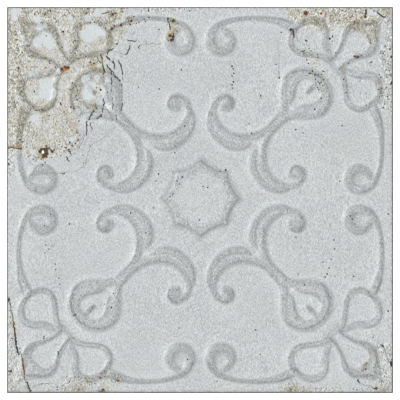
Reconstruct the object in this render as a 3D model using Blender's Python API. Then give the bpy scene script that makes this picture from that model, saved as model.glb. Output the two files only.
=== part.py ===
"""A square embossed ceramic wall tile, lying face up with its origin under the middle of its back.

It is one fired piece: a thin slab with a softly rounded arris and a face moulded with an
eight-pointed star, four pairs of scrolls, teardrops, petals and long arcs that end in volutes.
Every eighth of the face is the same, so one eighth is drawn and the rest is mirrored from it.
"""
import math

import bmesh
import bpy
import numpy as np
from mathutils import Vector
from mathutils.geometry import delaunay_2d_cdt

MM = 0.001

# The slab, in millimetres
TILE_SIDE = 200.0
BODY_THICKNESS = 8.0
ARRIS_RADIUS = 1.2
ARRIS_STEPS = 3
BACK_CHAMFER = 0.8

# The relief above the face's ground, in millimetres
RELIEF = 0.9
FULL_HALF_WIDTH = 2.0
CROWN_SHARE = 0.42

# The star: its points' distances from the middle and how far its sides curve in
STAR_LONG_POINT = 20.3
STAR_DIAGONAL_POINT = 19.3
STAR_SIDE_SAG = 1.5
STAR_STEP_WIDTH = 1.4
STAR_RIM_WIDTH = 3.4
STAR_RIM_HEIGHT = 0.95
STAR_DISH_WIDTH = 7.0
STAR_FLOOR_HEIGHT = 0.4

# The mould sits a little off the tile: all of it by the first pair, its middle by the second as well
BORDER_DRIFT = (0.0, 0.1)
MIDDLE_DRIFT = (0.55, 0.8)
DRIFT_REACH = 100.0
DRIFT_FALL = 1.5
BORDER_EASE = 4.0

# The ribs of one eighth of the face: how high each one rises for its width, and its points
# (across, down, half width) from the tile's middle
RIBS = {
    "scroll": (0.95, (
        (41.5, 43.0, 2.0), (38.0, 39.6, 2.0), (34.5, 36.3, 2.0), (31.0, 34.0, 2.0), (27.5, 32.7, 2.0),
        (24.0, 32.1, 2.0), (20.5, 32.0, 2.1), (17.0, 32.5, 2.1), (13.8, 33.8, 2.0), (10.6, 36.2, 2.0),
        (8.0, 39.6, 1.9), (6.5, 43.2, 1.8), (6.2, 46.2, 1.7), (7.3, 49.6, 1.8), (9.6, 52.0, 1.8),
        (12.7, 53.0, 1.8), (15.4, 51.6, 1.8), (16.0, 48.8, 1.7), (14.6, 46.8, 1.6), (12.2, 46.5, 1.5),
    )),
    "scroll_knob": (0.85, ((12.6, 49.0, 2.4), (13.6, 49.7, 2.7))),
    "leaf": (1.25, (
        (26.3, 29.3, 0.4), (24.0, 27.9, 1.3), (20.5, 26.9, 2.0), (17.0, 26.8, 2.1), (13.5, 27.8, 2.1),
        (10.0, 30.0, 2.0), (7.0, 33.1, 1.9), (5.0, 37.0, 1.7), (4.3, 41.0, 1.5), (4.7, 44.5, 1.3),
    )),
    "leaf_web": (0.85, (
        (23.4, 29.7, 1.0), (19.2, 29.5, 1.8), (15.2, 30.4, 2.1), (11.2, 32.8, 2.1), (8.2, 36.0, 2.0),
        (6.3, 40.2, 1.6),
    )),
    "teardrop": (0.98, (
        (42.6, 43.4, 1.6), (43.2, 46.5, 2.0), (43.3, 50.0, 2.1), (43.2, 54.0, 2.1), (43.3, 58.0, 2.1),
        (44.4, 61.7, 2.1), (47.0, 64.7, 2.1), (50.5, 66.3, 2.1), (54.5, 66.6, 2.1), (58.5, 65.7, 2.1),
        (62.6, 62.6, 2.1),
    )),
    "teardrop_web": (0.76, (
        (45.0, 49.0, 1.2), (45.7, 53.0, 2.0), (45.8, 57.0, 2.1), (47.2, 61.3, 2.2), (50.6, 63.9, 2.2),
        (55.0, 64.5, 2.2), (60.6, 61.8, 2.2),
    )),
    "teardrop_lining": (1.1, (
        (46.4, 49.4, 0.6), (47.4, 53.2, 1.5), (47.9, 57.2, 1.7), (49.5, 60.6, 1.6), (52.5, 62.9, 1.2),
        (56.0, 63.3, 1.0), (60.0, 61.0, 1.0),
    )),
    "pistil": (0.9, ((55.5, 55.5, 1.4), (57.5, 57.5, 1.5), (60.5, 60.5, 1.1))),
    "side_petal": (1.1, (
        (67.5, 72.3, 1.5), (64.5, 73.8, 1.4), (60.5, 74.6, 1.4), (56.0, 75.2, 1.4), (52.0, 75.9, 1.5),
        (49.0, 77.6, 1.6), (47.1, 80.2, 1.6), (46.7, 83.2, 1.6), (47.8, 86.2, 1.6), (49.3, 88.8, 1.6),
        (51.8, 91.2, 1.7), (55.0, 92.6, 1.7), (58.5, 92.8, 1.7), (62.0, 91.4, 1.7), (64.4, 88.6, 1.7),
        (64.7, 85.3, 1.7), (64.3, 82.3, 1.7), (65.0, 79.3, 1.5), (66.6, 76.6, 1.2), (67.6, 74.6, 1.0),
    )),
    "corner_petal": (1.2, (
        (68.9, 72.9, 1.3), (70.6, 75.6, 1.2), (72.3, 78.6, 1.3), (73.8, 82.0, 1.4), (74.6, 85.4, 1.5),
        (76.3, 88.6, 1.7), (79.5, 90.8, 1.6), (83.5, 91.0, 1.6), (88.0, 91.6, 1.5), (91.5, 92.6, 1.1),
        (94.3, 94.3, 0.6),
    )),
    "corner_lining": (0.95, (
        (75.6, 84.5, 0.8), (77.4, 87.2, 1.3), (80.5, 88.6, 1.4), (83.5, 87.8, 1.4), (85.6, 85.6, 1.4),
    )),
    "corner_gusset": (0.75, ((86.0, 86.0, 1.8), (88.5, 88.5, 2.0), (91.5, 91.5, 1.6))),
    "petal_link": (1.3, ((67.3, 71.3, 0.9), (69.3, 69.3, 0.9))),
    "arc_and_volute": (1.03, (
        (47.6, 88.6, 1.8), (44.5, 90.4, 2.0), (41.0, 92.0, 2.0), (36.9, 93.3, 1.7), (32.0, 93.8, 1.5),
        (26.6, 94.0, 1.3), (20.8, 93.6, 1.3), (16.0, 92.8, 1.4), (12.4, 91.6, 1.6), (9.2, 90.1, 1.8),
        (6.5, 87.4, 2.1), (5.2, 84.1, 2.4), (5.2, 80.6, 2.4), (7.0, 77.7, 2.5), (10.3, 76.5, 2.5),
        (13.6, 77.5, 2.5), (15.7, 80.2, 2.5), (15.9, 83.4, 2.3), (14.2, 86.2, 2.0), (11.5, 88.2, 1.6),
    )),
}

# How finely the ribs are cut into flat facets, and how finely their heights are worked out
FACET_LENGTH = 4.6
FACET_TURN = math.radians(33)
FINE_LENGTH = 1.0
FINE_TURN = math.radians(10)
CAP_STEPS = 3
BURIED = 0.1
MERGE_DISTANCE = 0.25
SNAP_DISTANCE = 0.35
ROUNDING = 0.002

GLAZE_COLOUR = (0.56, 0.59, 0.60, 1.0)
GLAZE_ROUGHNESS = 0.32

HALF_SIDE = TILE_SIDE / 2
FACE_EDGE = HALF_SIDE - ARRIS_RADIUS


def clear_scene():
    for thing in list(bpy.data.objects):
        bpy.data.objects.remove(thing, do_unlink=True)


def smooth_curve(points, longest, sharpest):
    """Points (across, down, half width) on the smooth curve through a rib's own points, and its ways."""
    points = np.array(points)
    ends = np.vstack([2 * points[0] - points[1], points, 2 * points[-1] - points[-2]])
    found = []
    ways = []
    for i in range(1, len(ends) - 2):
        before, start, stop, after = ends[i - 1:i + 3]
        leave = (stop - before)[:2]
        arrive = (after - start)[:2]
        bend = abs(math.atan2(leave[0] * arrive[1] - leave[1] * arrive[0], leave @ arrive))
        length = np.linalg.norm((stop - start)[:2])
        count = max(1, math.ceil(length / longest), math.ceil(bend / sharpest))
        square = 2 * before - 5 * start + 4 * stop - after
        cube = 3 * start - before - 3 * stop + after
        last = i == len(ends) - 3
        for k in range(count + last):
            t = k / count
            found.append(start + 0.5 * ((stop - before) * t + square * t ** 2 + cube * t ** 3))
            ways.append((stop - before) + 2 * square * t + 3 * cube * t ** 2)
    ways = np.array(ways)[:, :2]
    return np.array(found), ways / np.linalg.norm(ways, axis=1)[:, None]


def crown_height(rise, half_width):
    """A narrow rib is lower than a wide one."""
    return RELIEF * rise * (np.maximum(half_width, 0.0) / FULL_HALF_WIDTH) ** 1.5


def rib_section(share):
    """The height across a rib, from 1 on its flat crown to 0 at its foot."""
    return np.clip((1.0 - share) / (1.0 - CROWN_SHARE), 0.0, 1.0)


def star_side():
    """The middle and radius of the circle that one hollow side of the star follows."""
    first = np.array((0.0, STAR_LONG_POINT))
    last = np.array((1.0, 1.0)) * STAR_DIAGONAL_POINT / math.sqrt(2)
    half_chord = np.linalg.norm(last - first) / 2
    radius = (half_chord ** 2 + STAR_SIDE_SAG ** 2) / (2 * STAR_SIDE_SAG)
    along = (last - first) / (2 * half_chord)
    outward = np.array((-along[1], along[0]))
    return (first + last) / 2 + outward * (radius - STAR_SIDE_SAG), radius


def star_height(points):
    """The star rises in a steep step to its rim, and its middle is a shallow dish."""
    middle, radius = star_side()
    inside = np.linalg.norm(points - middle, axis=1) - radius
    inside[np.linalg.norm(points, axis=1) > STAR_LONG_POINT + STAR_STEP_WIDTH] = 0.0
    stops = (0.0, STAR_STEP_WIDTH, STAR_RIM_WIDTH, STAR_DISH_WIDTH)
    heights = (0.0, STAR_RIM_HEIGHT, STAR_RIM_HEIGHT * 0.85, STAR_FLOOR_HEIGHT)
    return RELIEF * np.interp(inside, stops, heights)


def ribs_height(points, curves):
    """The height of the highest rib over each point."""
    height = np.zeros(len(points))
    for rise, curve in curves:
        for start, stop in zip(curve[:-1], curve[1:]):
            along = (stop - start)[:2]
            share = np.clip((points - start[:2]) @ along / (along @ along), 0.0, 1.0)
            nearest = start + share[:, None] * (stop - start)
            distance = np.linalg.norm(points - nearest[:, :2], axis=1)
            own = crown_height(rise, nearest[:, 2]) * rib_section(distance / nearest[:, 2])
            height = np.maximum(height, own)
    return height


def face_height(points, curves):
    return np.maximum(star_height(points), ribs_height(points, curves))


def around_rib(curve, ways, share):
    """A closed line round a rib, at a share of its half width from its middle line."""
    sides = np.column_stack([-ways[:, 1], ways[:, 0]])
    reach = (curve[:, 2] * share)[:, None]
    turns = [math.pi * (k + 1) / (CAP_STEPS + 1) for k in range(CAP_STEPS)]
    far_cap = [curve[-1, :2] + reach[-1] * (sides[-1] * math.cos(a) + ways[-1] * math.sin(a)) for a in turns]
    near_cap = [curve[0, :2] - reach[0] * (sides[0] * math.cos(a) + ways[0] * math.sin(a)) for a in turns]
    return np.vstack([curve[:, :2] + sides * reach, far_cap, (curve[:, :2] - sides * reach)[::-1], near_cap])


def star_lines():
    """Lines along one side of the star, run a little past its points."""
    middle, radius = star_side()
    lines = []
    for inside in (0.0, STAR_STEP_WIDTH, STAR_RIM_WIDTH, STAR_DISH_WIDTH):
        reach = radius + inside
        from_middle = np.array((0.0, STAR_LONG_POINT)) - middle
        first = math.atan2(from_middle[1], from_middle[0])
        to_last = np.array((1.0, 1.0)) * STAR_DIAGONAL_POINT / math.sqrt(2) - middle
        last = math.atan2(to_last[1], to_last[0])
        spread = last - first
        angles = [first + spread * share for share in (-0.2, 0.1, 0.4, 0.7, 1.0, 1.3)]
        lines.append(np.array([middle + reach * np.array((math.cos(a), math.sin(a))) for a in angles]))
    return lines


def snapped(points, distance):
    """Points close to the eighth's two mirror lines, moved onto them."""
    points = points.copy()
    points[np.abs(points[:, 0]) < distance, 0] = 0.0
    near = np.abs(points[:, 0] - points[:, 1]) < distance * math.sqrt(2)
    points[near] = points[near].mean(axis=1)[:, None]
    return points


def eighth_of_face():
    """The points, heights and triangles of one eighth of the face."""
    fine = [(rise, smooth_curve(points, FINE_LENGTH, FINE_TURN)[0]) for rise, points in RIBS.values()]
    points = [(0.0, 0.0), (FACE_EDGE, FACE_EDGE), (0.0, FACE_EDGE)]
    edges = [(0, 1), (1, 2), (2, 0)]
    lines = [(line, False, False) for line in star_lines()]
    for _, own_points in RIBS.values():
        curve, ways = smooth_curve(own_points, FACET_LENGTH, FACET_TURN)
        lines.append((around_rib(curve, ways, 1.0), True, True))
        lines.append((around_rib(curve, ways, CROWN_SHARE), True, False))
    for line, closed, is_foot in lines:
        line = snapped(line, SNAP_DISTANCE)
        first = len(points)
        kept = np.ones(len(line), bool)
        if is_foot:
            kept = face_height(line, fine) < BURIED
        points.extend(map(tuple, line))
        count = len(line) if closed else len(line) - 1
        for k in range(count):
            following = (k + 1) % len(line)
            if kept[k] and kept[following]:
                edges.append((first + k, first + following))
    used = sorted({end for edge in edges for end in edge})
    place = {old: new for new, old in enumerate(used)}
    flat = [Vector(points[old]) for old in used]
    edges = [(place[a], place[b]) for a, b in edges]
    found, _, faces, _, _, _ = delaunay_2d_cdt(flat, edges, [], 0, MERGE_DISTANCE)
    flat = np.array([tuple(point) for point in found])
    flat = snapped(flat, ROUNDING)
    inside = []
    for face in faces:
        across, down = flat[list(face)].mean(axis=0)
        if 0.0 < across < down < FACE_EDGE:
            inside.append(face)
    return flat, face_height(flat, fine), inside


def drifted(across, up):
    """A face point moved with the mould, less the farther out it lies, and not at all at the face's edge."""
    share = 1.0 - min(1.0, math.hypot(across, up) / DRIFT_REACH) ** DRIFT_FALL
    inner = min(1.0, (FACE_EDGE - max(abs(across), abs(up))) / BORDER_EASE)
    return (
        across + (BORDER_DRIFT[0] + MIDDLE_DRIFT[0] * share) * inner,
        up + (BORDER_DRIFT[1] + MIDDLE_DRIFT[1] * share) * inner,
    )


def add_face(mesh):
    """The whole face, mirrored from one eighth of it."""
    flat, heights, faces = eighth_of_face()
    for swap in (False, True):
        for across_sign in (1, -1):
            for up_sign in (1, -1):
                corners = []
                for (across, down), height in zip(flat, heights):
                    if swap:
                        across, down = down, across
                    x, y = drifted(across * across_sign, down * up_sign)
                    corners.append(mesh.verts.new((x * MM, y * MM, (BODY_THICKNESS + height) * MM)))
                turned = (across_sign * up_sign < 0) != swap
                for face in faces:
                    order = reversed(face) if turned else face
                    mesh.faces.new([corners[k] for k in order])
    bmesh.ops.remove_doubles(mesh, verts=mesh.verts[:], dist=ROUNDING * MM)
    loose = [vert for vert in mesh.verts if not vert.link_faces]
    bmesh.ops.delete(mesh, geom=loose, context="VERTS")


def add_ring(mesh, rim, old_reach, new_reach, height):
    """The rim drawn out to the next outline of the slab's edge."""
    grown = bmesh.ops.extrude_edge_only(mesh, edges=rim)["geom"]
    for vert in (part for part in grown if isinstance(part, bmesh.types.BMVert)):
        for axis in (0, 1):
            if abs(abs(vert.co[axis]) - old_reach * MM) < ROUNDING * MM:
                vert.co[axis] = math.copysign(new_reach * MM, vert.co[axis])
        vert.co.z = height * MM
    return [part for part in grown if isinstance(part, bmesh.types.BMEdge)]


def add_sides_and_back(mesh):
    """The rounded arris, the upright edges, the small back chamfer and the flat back."""
    rings = []
    for step in range(1, ARRIS_STEPS + 1):
        turn = math.pi / 2 * step / ARRIS_STEPS
        drop = ARRIS_RADIUS * (1 - math.cos(turn))
        rings.append((FACE_EDGE + ARRIS_RADIUS * math.sin(turn), BODY_THICKNESS - drop))
    rings.append((HALF_SIDE, BACK_CHAMFER))
    rings.append((HALF_SIDE - BACK_CHAMFER, 0.0))
    rim = [edge for edge in mesh.edges if edge.is_boundary]
    reach = FACE_EDGE
    for new_reach, height in rings:
        rim = add_ring(mesh, rim, reach, new_reach, height)
        reach = new_reach
    bmesh.ops.holes_fill(mesh, edges=rim)
    bmesh.ops.recalc_face_normals(mesh, faces=mesh.faces[:])


def glaze():
    material = bpy.data.materials.new("glazed_ceramic")
    material.use_nodes = True
    shader = material.node_tree.nodes["Principled BSDF"]
    shader.inputs["Base Color"].default_value = GLAZE_COLOUR
    shader.inputs["Roughness"].default_value = GLAZE_ROUGHNESS
    shader.inputs["Metallic"].default_value = 0.0
    return material


def build_tile():
    mesh = bmesh.new()
    add_face(mesh)
    add_sides_and_back(mesh)
    data = bpy.data.meshes.new("tile")
    mesh.to_mesh(data)
    mesh.free()
    data.shade_smooth()
    data.set_sharp_from_angle(angle=math.radians(30))
    data.materials.append(glaze())
    tile = bpy.data.objects.new("tile", data)
    bpy.context.scene.collection.objects.link(tile)
    return tile


def main():
    clear_scene()
    build_tile()


main()
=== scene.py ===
"""The embossed ceramic wall tile, lying face up on a pale floor, seen from straight above.

The tile is one piece. Its slab is drawn out from a grid's rim with edit-mode operators. Its face is
laid out point by point in code, because no operator gives such a relief its height and section.
The places of its cracks, pits, stains and worn patches were read from the photograph.
"""
import math

import bmesh
import bpy
import numpy as np
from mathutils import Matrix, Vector
from mathutils.geometry import delaunay_2d_cdt


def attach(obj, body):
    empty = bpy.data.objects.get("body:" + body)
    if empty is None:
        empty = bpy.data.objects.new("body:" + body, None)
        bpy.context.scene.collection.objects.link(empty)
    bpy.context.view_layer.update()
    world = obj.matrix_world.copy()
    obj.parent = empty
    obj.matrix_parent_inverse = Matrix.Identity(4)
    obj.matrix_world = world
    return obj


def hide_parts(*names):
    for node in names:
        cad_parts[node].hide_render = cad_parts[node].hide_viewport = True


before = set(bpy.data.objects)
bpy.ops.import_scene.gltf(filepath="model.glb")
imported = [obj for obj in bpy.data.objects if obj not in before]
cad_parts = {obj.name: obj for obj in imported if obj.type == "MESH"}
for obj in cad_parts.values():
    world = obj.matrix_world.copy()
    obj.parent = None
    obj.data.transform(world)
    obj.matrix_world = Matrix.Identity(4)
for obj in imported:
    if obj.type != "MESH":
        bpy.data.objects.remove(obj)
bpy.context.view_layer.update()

MM = 0.001

# The slab, in millimetres
TILE_SIDE = 200.0
BODY_THICKNESS = 8.0
ARRIS_RADIUS = 1.2
ARRIS_STEPS = 5
BACK_CHAMFER = 0.8
RIM_CUTS = 160
RIM_BAND = 0.1
HALF_SIDE = TILE_SIDE / 2
FACE_EDGE = HALF_SIDE - ARRIS_RADIUS

# The relief above the face's ground, in millimetres
RELIEF = 1.12
FULL_HALF_WIDTH = 2.0
NARROW_POWER = 1.5
CROWN_SHARE = 0.31
FOOT_SHARE = 1.52
BLEND_POWER = 8.0

# The star: its points' distances from the middle and how far its sides curve in
STAR_LONG_POINT = 20.3
STAR_DIAGONAL_POINT = 19.3
STAR_SIDE_SAG = 1.5
STAR_STEP_START = -0.25
STAR_STEP_WIDTH = 1.7
STAR_RIM_WIDTH = 2.6
STAR_RIM_HEIGHT = 1.0
STAR_DISH_WIDTH = 7.0
STAR_FLOOR_HEIGHT = 0.4

# The mould sits a little off the tile: all of it by the first pair, its middle by the second as well
BORDER_DRIFT = (0.0, 0.1)
MIDDLE_DRIFT = (0.55, 0.8)
DRIFT_REACH = 100.0
DRIFT_FALL = 1.5
BORDER_EASE = 4.0
DRIFT_ROUNDS = 4

# The slight waves of a pressed and fired face: their share, turns across and up, and start
WAVES = (
    (1.0, 0.071, 0.043, 0.6), (0.8, -0.052, 0.094, 2.1), (0.5, 0.163, 0.11, 4.0), (0.4, 0.12, -0.19, 1.3),
)
WAVE_HEIGHT = 0.03
WAVE_EASE = 6.0

# The ribs of one eighth of the face: how high each one rises for its width, and its points
# (across, down, half width) from the tile's middle
RIBS = {
    "scroll": (0.95, (
        (41.5, 43.0, 2.0), (38.0, 39.6, 2.0), (34.5, 36.3, 2.0), (31.0, 34.0, 2.0), (27.5, 32.7, 2.0),
        (24.0, 32.1, 2.0), (20.5, 32.0, 2.1), (17.0, 32.5, 2.1), (13.8, 33.8, 2.0), (10.6, 36.2, 2.0),
        (8.0, 39.6, 1.9), (6.5, 43.2, 1.8), (6.2, 46.2, 1.7), (7.3, 49.6, 1.8), (9.6, 52.0, 1.8),
        (12.7, 53.0, 1.8), (15.4, 51.6, 1.8), (16.0, 48.8, 1.7), (14.6, 46.8, 1.6), (12.2, 46.5, 1.5),
    )),
    "scroll_knob": (0.85, ((12.6, 49.0, 2.4), (13.6, 49.7, 2.7))),
    "leaf": (1.25, (
        (26.3, 29.3, 0.4), (24.0, 27.9, 1.3), (20.5, 26.9, 2.0), (17.0, 26.8, 2.1), (13.5, 27.8, 2.1),
        (10.0, 30.0, 2.0), (7.0, 33.1, 1.9), (5.0, 37.0, 1.7), (4.3, 41.0, 1.5), (4.7, 44.5, 1.3),
    )),
    "leaf_web": (0.85, (
        (23.4, 29.7, 1.0), (19.2, 29.5, 1.8), (15.2, 30.4, 2.1), (11.2, 32.8, 2.1), (8.2, 36.0, 2.0),
        (6.3, 40.2, 1.6),
    )),
    "teardrop": (0.98, (
        (42.6, 43.4, 1.6), (43.2, 46.5, 2.0), (43.3, 50.0, 2.1), (43.2, 54.0, 2.1), (43.3, 58.0, 2.1),
        (44.4, 61.7, 2.1), (47.0, 64.7, 2.1), (50.5, 66.3, 2.1), (54.5, 66.6, 2.1), (58.5, 65.7, 2.1),
        (62.6, 62.6, 2.1),
    )),
    "teardrop_web": (0.76, (
        (45.0, 49.0, 1.2), (45.7, 53.0, 2.0), (45.8, 57.0, 2.1), (47.2, 61.3, 2.2), (50.6, 63.9, 2.2),
        (55.0, 64.5, 2.2), (60.6, 61.8, 2.2),
    )),
    "teardrop_lining": (1.1, (
        (46.4, 49.4, 0.6), (47.4, 53.2, 1.5), (47.9, 57.2, 1.7), (49.5, 60.6, 1.6), (52.5, 62.9, 1.2),
        (56.0, 63.3, 1.0), (60.0, 61.0, 1.0),
    )),
    "pistil": (0.9, ((55.5, 55.5, 1.4), (57.5, 57.5, 1.5), (60.5, 60.5, 1.1))),
    "side_petal": (1.1, (
        (67.5, 72.3, 1.5), (64.5, 73.8, 1.4), (60.5, 74.6, 1.4), (56.0, 75.2, 1.4), (52.0, 75.9, 1.5),
        (49.0, 77.6, 1.6), (47.1, 80.2, 1.6), (46.7, 83.2, 1.6), (47.8, 86.2, 1.6), (49.3, 88.8, 1.6),
        (51.8, 91.2, 1.7), (55.0, 92.6, 1.7), (58.5, 92.8, 1.7), (62.0, 91.4, 1.7), (64.4, 88.6, 1.7),
        (64.7, 85.3, 1.7), (64.3, 82.3, 1.7), (65.0, 79.3, 1.5), (66.6, 76.6, 1.2), (67.6, 74.6, 1.0),
    )),
    "corner_petal": (1.2, (
        (68.9, 72.9, 1.3), (70.6, 75.6, 1.2), (72.3, 78.6, 1.3), (73.8, 82.0, 1.4), (74.6, 85.4, 1.5),
        (76.3, 88.6, 1.7), (79.5, 90.8, 1.6), (83.5, 91.0, 1.6), (88.0, 91.6, 1.5), (91.5, 92.6, 1.1),
        (94.3, 94.3, 0.6),
    )),
    "corner_lining": (0.95, (
        (75.6, 84.5, 0.8), (77.4, 87.2, 1.3), (80.5, 88.6, 1.4), (83.5, 87.8, 1.4), (85.6, 85.6, 1.4),
    )),
    "corner_gusset": (0.75, ((86.0, 86.0, 1.8), (88.5, 88.5, 2.0), (91.5, 91.5, 1.6))),
    "petal_link": (1.3, ((67.3, 71.3, 0.9), (69.3, 69.3, 0.9))),
    "arc_and_volute": (1.03, (
        (47.6, 88.6, 1.8), (44.5, 90.4, 2.0), (41.0, 92.0, 2.0), (36.9, 93.3, 1.7), (32.0, 93.8, 1.5),
        (26.6, 94.0, 1.3), (20.8, 93.6, 1.3), (16.0, 92.8, 1.4), (12.4, 91.6, 1.6), (9.2, 90.1, 1.8),
        (6.5, 87.4, 2.1), (5.2, 84.1, 2.4), (5.2, 80.6, 2.4), (7.0, 77.7, 2.5), (10.3, 76.5, 2.5),
        (13.6, 77.5, 2.5), (15.7, 80.2, 2.5), (15.9, 83.4, 2.3), (14.2, 86.2, 2.0), (11.5, 88.2, 1.6),
    )),
}

# How much darker the glaze lies on each rib's middle, and how that falls away to its foot
RIB_GREY = {
    "scroll": 0.2, "scroll_knob": 0.12, "leaf": 0.2, "leaf_web": 0.03, "teardrop": 0.2, "teardrop_web": 0.04,
    "teardrop_lining": 0.17, "pistil": 0.03, "side_petal": 0.19, "corner_petal": 0.2, "corner_lining": 0.17,
    "corner_gusset": 0.03, "petal_link": 0.14, "arc_and_volute": 0.22,
}
GREY_SHARES = (0.0, 0.4, 0.8, 1.0, 1.25)
GREY_FALL = (1.0, 0.85, 0.7, 0.3, 0.0)
RIBBED_SHARES = (0.5, 1.15)
DARKEST_TONE = 0.35

# The star's tones, placed by how far inside its outline they lie
# A line is how dark it is, its middle and its reach; the star's outline lines are partly print and partly
# painted shade on its step
STAR_GREY = 0.16
STAR_GREY_START = (-0.4, 0.6)
STAR_GREY_END = (2.8, 4.7)
STAR_RIBBED_END = (2.5, 6.0)
STAR_PRINT_AND_SHADE_LINE = (0.29, -0.1, 1.1)
STAR_TIP_PRINT_AND_SHADE_LINE = (0.16, 0.4, 1.5)
STAR_TIP_REACH = 2.2
STAR_TIP_EASE = 0.35
STAR_FLOOR_LIGHT = 0.025
STAR_FLOOR_EDGE = (4.5, 6.0)

# Painted highlight beside the ribs and the star: how much lighter, how far from the rib's side, and how wide
RIB_HIGHLIGHTS = ((0.050, 1.4, 1.4), (0.043, 1.0, 0.6))

# Pale pools of glaze on the eighth: across, down, radius and how much lighter
POOL_CORE = 0.2
POOLS = (
    (48.2, 47.8, 2.4, 0.18), (42.2, 42.6, 2.6, 0.10), (47.3, 89.2, 2.0, 0.20), (43.6, 91.4, 1.6, 0.14),
    (12.7, 12.6, 1.1, 0.22), (92.0, 92.4, 1.6, 0.16), (58.8, 58.4, 1.4, 0.12),
)

# How dark a line along a rib is, and the share of it that is fully so
FAINT = 0.05
SOFT = 0.1
CLEAR = 0.17
DARK = 0.24
DEEP = 0.4
LINE_CORE = 0.15
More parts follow.
